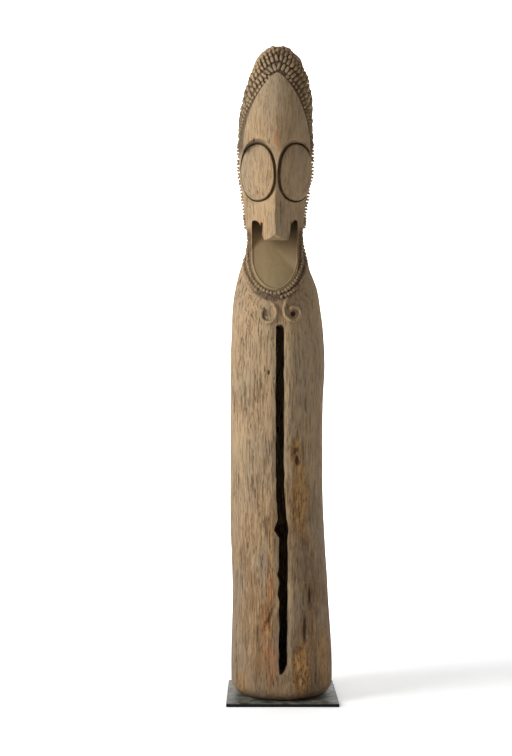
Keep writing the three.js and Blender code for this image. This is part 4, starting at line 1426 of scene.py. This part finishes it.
class Painter:
    """Builds one procedural material on Object coordinates."""

    def __init__(self, name: str) -> None:
        """Makes an empty material with a Principled shader.

        Args:
            name: The material's name.
        """
        self.material = bpy.data.materials.new(name)
        self.material.use_nodes = True
        self.tree = self.material.node_tree
        self.tree.nodes.clear()
        self.shader = self.node("ShaderNodeBsdfPrincipled", {})
        self.node("ShaderNodeOutputMaterial", {"Surface": self.shader.outputs[0]})
        self.place = self.node("ShaderNodeTexCoord", {}).outputs["Object"]

    def feed(self, socket: bpy.types.NodeSocket, value: object) -> None:
        """Gives a socket a plain value, or links it to a Value or another socket."""
        if isinstance(value, Value):
            value = value.socket
        if isinstance(value, bpy.types.NodeSocket):
            self.tree.links.new(value, socket)
        else:
            socket.default_value = value

    def node(self, kind: str, inputs: dict, **settings: object) -> bpy.types.Node:
        """Adds a node, sets it up, then feeds its sockets.

        Args:
            kind: The node's type.
            inputs: Socket names or numbers with what feeds them.
            settings: Attributes of the node, set first.

        Returns:
            The node.
        """
        node = self.tree.nodes.new(kind)
        for key, value in settings.items():
            setattr(node, key, value)
        for key, value in inputs.items():
            self.feed(node.inputs[key], value)
        return node

    def stretched(self, scale: tuple[float, ...], shift: tuple[float, ...]) -> bpy.types.NodeSocket:
        """Object coordinates times a scale, moved by a shift."""
        inputs = {"Vector": self.place, "Scale": scale, "Location": shift}
        return self.node("ShaderNodeMapping", inputs).outputs[0]

    def noise(self, size: float, upright: float = 1.0, detail: float = 4.0, rough: float = 0.55,
              warp: float = 0.0, shift: float = 0.0) -> Value:
        """Cloudy noise whose cells have a size in metres and are drawn out along the log.

        Args:
            size: Width of a cell.
            upright: How many times taller than wide a cell is.
            detail: Number of finer layers.
            rough: Strength of the finer layers.
            warp: Amount of distortion.
            shift: Moves the pattern.

        Returns:
            Values from 0 to 1.
        """
        place = self.stretched((1 / size, 1 / size, 1 / (size * upright)), (shift, shift, shift))
        node = self.node("ShaderNodeTexNoise", {"Vector": place, "Scale": 1.0, "Detail": detail,
                                                "Roughness": rough, "Distortion": warp})
        return Value(self, node.outputs[0])

    def cells(self, size: float, upright: float) -> Value:
        """Distance to the nearest of scattered points, for pits and worm holes."""
        place = self.stretched((1 / size, 1 / size, 1 / (size * upright)), (0.0, 0.0, 0.0))
        node = self.node("ShaderNodeTexVoronoi", {"Vector": place, "Scale": 1.0})
        return Value(self, node.outputs["Distance"])

    def coordinate(self, axis: str) -> Value:
        """One of the object's coordinates, in metres."""
        return Value(self, self.node("ShaderNodeSeparateXYZ", {0: self.place}).outputs[axis])

    def near(self, centre: tuple[float, float, float], radii: tuple[float, float, float]) -> Value:
        """Distance from a centre, measured in the radii of an oval around it.

        Args:
            centre: The oval's middle, in metres.
            radii: Its half sizes, in metres.

        Returns:
            0 in the middle and 1 on the oval.
        """
        scale = tuple(1 / radius for radius in radii)
        shift = tuple(-place / radius for place, radius in zip(centre, radii))
        length = self.node("ShaderNodeVectorMath", {0: self.stretched(scale, shift)}, operation="LENGTH")
        return Value(self, length.outputs["Value"])

    def mixed(self, amount: Value, first: object, second: object) -> bpy.types.NodeSocket:
        """Colour between two colours, by an amount from 0 to 1."""
        return self.node("ShaderNodeMix", {0: amount, 6: first, 7: second}, data_type="RGBA").outputs[2]

    def bump(self, height: Value, distance: float) -> None:
        """Feeds a height in metres to the shader's normal."""
        node = self.node("ShaderNodeBump", {"Height": height, "Distance": distance, "Strength": 1.0})
        self.feed(self.shader.inputs["Normal"], node.outputs[0])

    def finish(self, **values: object) -> bpy.types.Material:
        """Feeds the shader's sockets by name, with underscores for spaces.

        Args:
            values: Socket names with what feeds them.

        Returns:
            The material.
        """
        for key, value in values.items():
            self.feed(self.shader.inputs[key.replace("_", " ")], value)
        return self.material


Colour = tuple[float, float, float, float]


def shade(red: int, green: int, blue: int) -> Colour:
    """Linear colour of a display colour given from 0 to 255."""
    def linear(part: float) -> float:
        """Undoes the display's curve."""
        return part / 12.92 if part <= 0.04045 else ((part + 0.055) / 1.055) ** 2.4
    return (*(linear(part / 255) for part in (red, green, blue)), 1.0)


def on_front(x: float, level: float) -> tuple[float, float, float]:
    """Point of the front surface at a sideways place in shares and a level."""
    across, up = FORM.beside(x), FORM.height(level)
    return (across, float(front_depth(np.array([across]), np.array([up]))[0]), up)


@dataclass(frozen=True)
class Stain:
    """A coloured place on the log: where it lies, its half sizes in shares, and how strong it is."""

    x: float
    level: float
    width: float
    height: float
    strength: float = 1.0


@dataclass(frozen=True)
class WeatheredWood:
    """Grey-brown hardwood, long in the weather.

    Attributes:
        pale: Bleached surface.
        brown: Wood between the bleached fibres.
        dark: Bottom of grain lines and cracks, and the painted shadow inside the left chest spiral.
        grey: Silvered wood.
        olive: The smooth chin panel.
        crevice_shade: Painted shade colour laid between the locks and between the beads.
        crevice_shade_strength: Strength of that painted shade.
        hair_run: Rise of the hair's front line from the neck to the brow, in shares.
        golden: Fresh wood in the eaten places.
        ochre: Traces of orange earth colour.
        golden_places: Where the fresh wood shows.
        ochre_places: Where the earth colour is left.
        dark_places_and_shadow: Hollows and holes, and a painted shadow inside the left chest spiral.
        stain_depth: How deep a stain goes, in shares.
        relief: Height of the painted relief, in metres.
    """

    pale: Colour = shade(161, 136, 104)
    brown: Colour = shade(114, 87, 58)
    dark: Colour = shade(44, 33, 24)
    grey: Colour = shade(136, 122, 101)
    olive: Colour = shade(134, 115, 82)
    # Painted shade: a dark colour laid between the locks and between the beads, where shade falls.
    crevice_shade: Colour = shade(56, 41, 27)
    golden: Colour = shade(176, 127, 68)
    ochre: Colour = shade(166, 98, 50)
    # Strength of the painted shade between the locks and beads.
    crevice_shade_strength: float = 0.95
    hair_run: float = 247.0
    stain_depth: float = 32.0
    relief: float = 0.0036
    golden_places: tuple[Stain, ...] = (
        Stain(25.5, 372, 11, 34), Stain(31, 308, 17, 72, 0.85), Stain(31.5, 51, 19, 52),
        Stain(-17.3, 124, 8, 36, 0.6), Stain(-58, 24, 14, 22, 0.4), Stain(69, 63, 12, 60, 0.5),
        Stain(-13, 200, 6, 90, 0.5),
    )
    ochre_places: tuple[Stain, ...] = (
        Stain(-15, 61, 14, 50, 0.6), Stain(-5, 852, 5, 18, 0.75), Stain(-30, 718, 10, 24, 0.6),
        Stain(-15, 168, 7, 50, 0.4), Stain(-24, 122, 9, 34, 0.4), Stain(-13, 395, 4, 14, 0.5),
    )
    dark_places_and_shadow: tuple[Stain, ...] = (
        Stain(20.2, 589, 5.2, 5.6), Stain(26, 366, 4.5, 11, 0.9), Stain(37.5, 110, 3, 30, 0.9),
        Stain(-39.5, 855, 1.6, 2.6, 0.9), Stain(-17, 499.5, 2.6, 5, 0.9), Stain(45, 160.5, 1.6, 22, 0.9),
        # Stain(-18.6, 590) below is a painted shadow inside the ring of the left chest spiral.
        Stain(-16, 120, 3, 17, 0.7), Stain(-18.6, 590, 6, 8, 0.45),
    )

    def places(self, paint: Painter, stains: tuple[Stain, ...], ragged: Value, torn: float = 1.3) -> Value:
        """Union of the stains, each with a ragged edge.

        Args:
            paint: The painter.
            stains: The places.
            ragged: Noise that breaks their edges.
            torn: How much it breaks them.

        Returns:
            Cover from 0 to 1.
        """
        cover = None
        for stain in stains:
            radii = (stain.width * SHARE, self.stain_depth * SHARE, stain.height * SHARE)
            away = paint.near(on_front(stain.x, stain.level), radii) + (ragged - 0.5) * torn
            one = away.graded(1.0, 0.45) * stain.strength
            cover = one if cover is None else cover.top(one)
        return cover

    def material(self, name: str = "weathered_wood") -> bpy.types.Material:
        """Layers bleached fibres, brown streaks, dark grain lines, eaten gold and ochre traces, and painted
        shade between the locks and beads and inside the left chest spiral.

        Args:
            name: The material's name.

        Returns:
            The material.
        """
        paint = Painter(name)
        clouds = paint.noise(0.1, 2.4, 5.0, 0.62)
        streaks = paint.noise(0.0062, 11.0, 6.0, 0.7, 0.5)
        fibres = paint.noise(0.0028, 9.0, 4.0, 0.65)
        speckle = paint.noise(0.006, 1.6, 5.0, 0.7)
        level = (paint.coordinate("Z") - FORM.foot) / SHARE
        panel = self.chin_panel(paint, level)
        bleached = streaks * 0.5 + clouds * 0.4 + (fibres - 0.5) * 0.45
        bleached += level.graded(0.0, 520.0, -0.06, 0.11)
        colour = paint.mixed(bleached.graded(0.36, 0.62), self.brown, self.pale)
        grey = paint.noise(0.16, 1.7, 3.0, 0.5, shift=4.0).graded(0.42, 0.66) * 0.5
        colour = paint.mixed(grey, colour, self.grey)
        soot = paint.noise(0.05, 3.0, 5.0, 0.65, 0.5, shift=23.0).graded(0.56, 0.74) * 0.4
        colour = paint.mixed(soot, colour, self.brown)
        colour = paint.mixed(panel * 0.75, colour, self.olive)
        # Painted shade between the locks, around the forehead's arch and between the beads.
        shade_cover = self.hair_shade_band(paint, level).top(self.bead_shade_band(paint, level))
        colour = paint.mixed(shade_cover * speckle.graded(0.3, 0.7, 1.0, 0.5) * self.crevice_shade_strength, colour, self.crevice_shade)
        lines = paint.noise(0.005, 13.0, 5.0, 0.64, 0.9, shift=9.0)
        quiet = (1.0 - panel * 0.85) * level.graded(640.0, 720.0, 1.0, 0.55)
        grain = lines.graded(0.47, 0.38) * clouds.graded(0.25, 0.6, 1.0, 0.6) * quiet
        checks = paint.noise(0.015, 9.0, 6.0, 0.66, 1.0, shift=17.0)
        cracks = checks.graded(0.35, 0.31) * quiet
        golden = self.places(paint, self.golden_places, speckle)
        ochre = self.places(paint, self.ochre_places, streaks)
        holes = paint.cells(0.0075, 4.5).graded(0.3, 0.12) * golden
        crumbs = paint.noise(0.0055, 4.0, 5.0, 0.72, 0.6, shift=41.0)
        colour = paint.mixed(golden * crumbs.graded(0.4, 0.56), colour, self.golden)
        colour = paint.mixed(golden * crumbs.graded(0.46, 0.34) * 0.85, colour, self.dark)
        colour = paint.mixed(ochre * clouds.graded(0.3, 0.6) * 0.85, colour, self.ochre)
        # Dark holes and pits, and the painted shadow inside the left chest spiral; the marks below carry
        # both.
        hollows_and_shadow = self.places(paint, self.dark_places_and_shadow, speckle, 0.5)
        marks = (grain * 0.62).top(cracks * 0.9).top(holes * 0.75).top(hollows_and_shadow * 0.92)
        colour = paint.mixed(marks, colour, self.dark)
        height = (streaks * 0.4 + fibres * 0.35 + speckle * 0.2) * quiet
        height = height - grain * 0.6 - cracks * 1.4 - holes * 1.2 + golden * crumbs * 1.2
        paint.bump(height, self.relief)
        return paint.finish(Base_Color=colour, Roughness=bleached.graded(0.3, 0.7, 0.82, 0.93),
                            Specular_IOR_Level=0.25)

    def hair_shade_band(self, paint: Painter, level: Value) -> Value:
        """Cover of the painted shade between the locks: behind a line whose depth in metres is
        0.022 - 0.03 u - 0.182 u^3, where u runs from 0 at the neck to 1 over the brow, and outside
        the forehead's arch.

        Args:
            paint: The painter.
            level: Level of the surface.

        Returns:
            Cover from 0 to 1.
        """
        run = (level - NECK_LEVEL) / self.hair_run
        line = 0.022 - run * 0.03 - run * run * run * 0.182
        behind = paint.coordinate("Y") - line
        t = ((level - ARCH_SPRING) / (ARCH_TOP - ARCH_SPRING)).top(0.0).under(1.0)
        half = (1.0 - t**ARCH_POINT) ** ARCH_FULLNESS * (ARCH_HALF_WIDTH * SHARE)
        beside = (paint.coordinate("X") - FORM.beside(HEAD_AXIS)).size() - half
        outside = beside.graded(-0.001, 0.002) * level.graded(832.0, 850.0)
        shade_cover = behind.graded(-0.014, -0.004).top(outside) * behind.graded(0.08, 0.064)
        return shade_cover * level.graded(700.0, 716.0)

    def bead_shade_band(self, paint: Painter, level: Value) -> Value:
        """Cover of the painted shade between the beads: a U-shaped band around the chin panel.

        Args:
            paint: The painter.
            level: Level of the surface.

        Returns:
            Cover from 0 to 1.
        """
        across = (paint.coordinate("X") - FORM.beside(CHIN_AXIS)) / (CHIN_HALF_WIDTH * SHARE)
        down = (level - CHIN_SPRING).under(0.0) / (CHIN_SPRING - CHIN_BOTTOM)
        away = (across * across + down * down) ** 0.5
        front = paint.coordinate("Y").graded(-0.03, -0.05)
        return away.graded(1.02, 1.1) * away.graded(1.5, 1.36) * front * level.graded(735.0, 715.0)

    def chin_panel(self, paint: Painter, level: Value) -> Value:
        """Cover of the smooth panel: close to its leaning plane, between its borders.

        Args:
            paint: The painter.
            level: Level of the surface.

        Returns:
            Cover from 0 to 1.
        """
        plane = (level - CHIN_LEVEL) * (CHIN_LEAN * SHARE) - CHIN_DEPTH * SHARE
        off = (paint.coordinate("Y") - plane).size()
        beside = (paint.coordinate("X") - FORM.beside(CHIN_AXIS)).size()
        across = beside.graded((CHIN_HALF_WIDTH + 1.0) * SHARE, (CHIN_HALF_WIDTH - 1.0) * SHARE)
        return off.graded(0.008, 0.004) * across * level.graded(622.0, 630.0) * level.graded(765.0, 755.0)


@dataclass(frozen=True)
class BlackenedSteel:
    """Dark mottled grey-green plate."""

    light: Colour = shade(122, 121, 108)
    deep: Colour = shade(40, 41, 37)
    rim: Colour = shade(17, 17, 18)

    def material(self) -> bpy.types.Material:
        """Cloudy patina over a dull metal.

        Returns:
            The material.
        """
        paint = Painter("blackened_steel")
        clouds = paint.noise(0.045, 1.0, 7.0, 0.62, 0.5)
        grit = paint.noise(0.004, 1.0, 4.0, 0.6)
        colour = paint.mixed((clouds * 0.7 + grit * 0.3).graded(0.38, 0.62), self.deep, self.light)
        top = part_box("base_plate")[1][2]
        colour = paint.mixed(paint.coordinate("Z").graded(top - 0.0006, top - 0.0016), colour, self.rim)
        paint.bump(grit, 0.0004)
        return paint.finish(Base_Color=colour, Metallic=0.1, Roughness=clouds.graded(0.3, 0.7, 0.5, 0.7),
                            Specular_IOR_Level=0.15)


@dataclass(frozen=True)
class StudioPaper:
    """Plain white floor and backdrop, lit a little from within like a light table."""

    tone: float = 0.9
    glow: float = 0.3

    def material(self) -> bpy.types.Material:
        """Matt near-white with a trace of unevenness.

        Returns:
            The material.
        """
        paint = Painter("studio_paper")
        tone = paint.noise(0.8, 1.0, 2.0).graded(0.2, 0.8, self.tone - 0.01, self.tone + 0.01)
        colour = paint.node("ShaderNodeCombineColor", {0: tone, 1: tone, 2: tone}).outputs[0]
        return paint.finish(Base_Color=colour, Roughness=0.95, Emission_Color=(1.0, 1.0, 1.0, 1.0),
                            Emission_Strength=self.glow)


@dataclass(frozen=True)
class BasePlate:
    """The flat steel plate, with its edges eased.

    Attributes:
        edge: Radius of its long edges, in metres.
        corner: Radius of its corners from above.
    """

    edge: float = 0.0012
    corner: float = 0.003

    def build(self) -> bpy.types.Object:
        """Rings from the underside to the top, drawn in at the eased edges.

        Returns:
            The plate, the same size as the solid.
        """
        low, high = (np.array(corner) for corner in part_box("base_plate"))
        half = (high - low) / 2
        middle = (high + low) / 2
        around = full_turn(48)
        x, y = (np.sign(part) * (reach - self.corner) + self.corner * part
                for part, reach in ((np.cos(around), half[0]), (np.sin(around), half[1])))
        bend = np.linspace(0, math.pi / 2, 4)
        outwards, upwards = self.edge * (1 - np.sin(bend)), self.edge * (1 - np.cos(bend))
        inset = np.concatenate([outwards, upwards])
        z = np.concatenate([low[2] + upwards, high[2] - outwards])
        rings = np.stack([
            middle[0] + x * (1 - inset[:, None] / half[0]), middle[1] + y * (1 - inset[:, None] / half[1]),
            np.broadcast_to(z[:, None], (len(z), len(x)))], axis=-1)
        plate = lofted("steel_plate", rings)
        crisp(plate, 40.0)
        return plate


@dataclass(frozen=True)
class Studio:
    """Floor, lights and camera.

    Attributes:
        horizon_row: Row of the photograph on the camera's level.
        focal_rows: Focal length in rows of the photograph.
        distance: From the camera to the log's axis, in metres.
        height: Height of the camera above the plate.
        axis_column: Column of the photograph where the log's axis stands.
        surround: Strength of the light from all round.
    """

    horizon_row: float = 432.0
    focal_rows: float = 1320.0
    distance: float = 4.76
    height: float = 0.935
    axis_column: float = 279.0
    surround: float = 0.33

    def floor(self) -> bpy.types.Object:
        """Wide floor that sweeps up behind: flat, then a quarter round, then upright.

        Returns:
            The floor.
        """
        bend = np.linspace(0, math.pi / 2, 16)
        depth = np.concatenate([[-9.0, -3.0], 5.0 + 2.0 * np.sin(bend), [7.0]])
        rise = np.concatenate([[0.0, 0.0], 2.0 - 2.0 * np.cos(bend), [9.0]])
        width = np.linspace(-9.0, 9.0, 5)
        x, y = np.meshgrid(width, depth)
        points = np.stack([x, y, np.broadcast_to(rise[:, None], x.shape)], axis=-1)
        rows, columns = x.shape
        row, column = np.meshgrid(np.arange(rows - 1), np.arange(columns - 1), indexing="ij")
        low = row * columns + column
        faces = np.stack([low, low + 1, low + columns + 1, low + columns], axis=-1).reshape(-1, 4)
        floor = mesh_object("floor", points, faces, closed=False)
        floor.data.materials.append(StudioPaper().material())
        return floor

    def lamp(self, name: str, place: tuple[float, float, float], aim: tuple[float, float, float],
             size: tuple[float, float], power: float) -> None:
        """Adds a rectangular soft light.

        Args:
            name: The light's name.
            place: Where it stands.
            aim: What it points at.
            size: Its width and height, in metres.
            power: Its power in watts.
        """
        light = bpy.data.lights.new(name, "AREA")
        light.shape = "RECTANGLE"
        light.size, light.size_y = size
        light.energy = power
        lamp = linked(name, light)
        lamp.location = place
        lamp.rotation_euler = aimed(np.array(aim) - np.array(place))

    def lights(self) -> None:
        """Large soft light from the left, two lights on the backdrop, and a weak surround."""
        self.lamp("key", (-3.1, -1.7, 2.3), (0, 0, 1.15), (1.5, 3.0), 158.0)
        self.lamp("backdrop_left", (-2.6, 2.4, 2.6), (-1.0, 7.0, 1.6), (1.6, 3.2), 380.0)
        self.lamp("backdrop_right", (2.6, 2.4, 2.6), (1.0, 7.0, 1.6), (1.6, 3.2), 380.0)
        world = bpy.data.worlds.new("surround")
        world.use_nodes = True
        back = world.node_tree.nodes["Background"]
        back.inputs[0].default_value = (1.0, 1.0, 1.0, 1.0)
        back.inputs[1].default_value = self.surround
        bpy.context.scene.world = world
        bpy.context.scene.view_settings.view_transform = "Standard"

    def camera(self) -> None:
        """Level camera whose frame is shifted up, so that uprights stay upright."""
        data = bpy.data.cameras.new("camera")
        data.sensor_fit = "VERTICAL"
        data.sensor_height = 24.0
        data.lens = data.sensor_height * self.focal_rows / PHOTO_HEIGHT
        data.shift_y = (self.horizon_row - PHOTO_HEIGHT / 2) / PHOTO_HEIGHT
        data.clip_end = 60.0
        camera = linked("camera", data)
        beside = (self.axis_column - PHOTO_WIDTH / 2) / self.focal_rows * self.distance
        plate_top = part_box("base_plate")[1][2]
        camera.location = (FORM.axis - beside, -self.distance, plate_top + self.height)
        camera.rotation_euler = (math.pi / 2, 0, 0)
        bpy.context.scene.camera = camera


def aimed(direction: np.ndarray) -> tuple[float, float, float]:
    """Turn that points an object's -Z along a direction, as Euler angles."""
    flat = math.hypot(direction[0], direction[1])
    return (math.atan2(flat, -direction[2]), 0.0, math.atan2(direction[0], -direction[1]) + math.pi)


def dressed(piece: bpy.types.Object, material: bpy.types.Material, slot: str, *nodes: str) -> None:
    """Gives a piece its material, rides it on the part and lets it stand for nodes.

    Args:
        piece: The piece.
        material: Its finish.
        slot: Name of the record's slot; not used.
        nodes: Solids that it stands for.
    """
    piece.data.materials.clear()
    piece.data.materials.append(material)
    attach(piece, "root")
    if nodes:
        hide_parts(*nodes)
    LOG.info("%s: %d faces", piece.name, len(piece.data.polygons))


def main() -> None:
    """Builds the studio, the drum and the plate."""
    logging.basicConfig(level=logging.INFO, format="%(message)s")
    studio = Studio()
    studio.camera()
    studio.floor()
    studio.lights()
    wood = WeatheredWood().material()
    dressed(CarvedLog().build(), wood, "carved_wood", "slit_drum")
    # The raised pieces carry only a little of the painted shade between the locks and beads.
    raised = WeatheredWood(crevice_shade_strength=0.12).material("raised_wood")
    dressed(HairLocks().build(), raised, "carved_wood")
    chin = ChinCarving()
    dressed(chin.rim(), raised, "carved_wood")
    dressed(chin.beads(), raised, "carved_wood")
    for spiral, name in zip(SPIRALS, ("spiral_left", "spiral_right")):
        dressed(spiral.build(name), wood, "carved_wood")
    dressed(BasePlate().build(), BlackenedSteel().material(), "plate_steel", "base_plate")


if __name__ == "__main__":
    main()
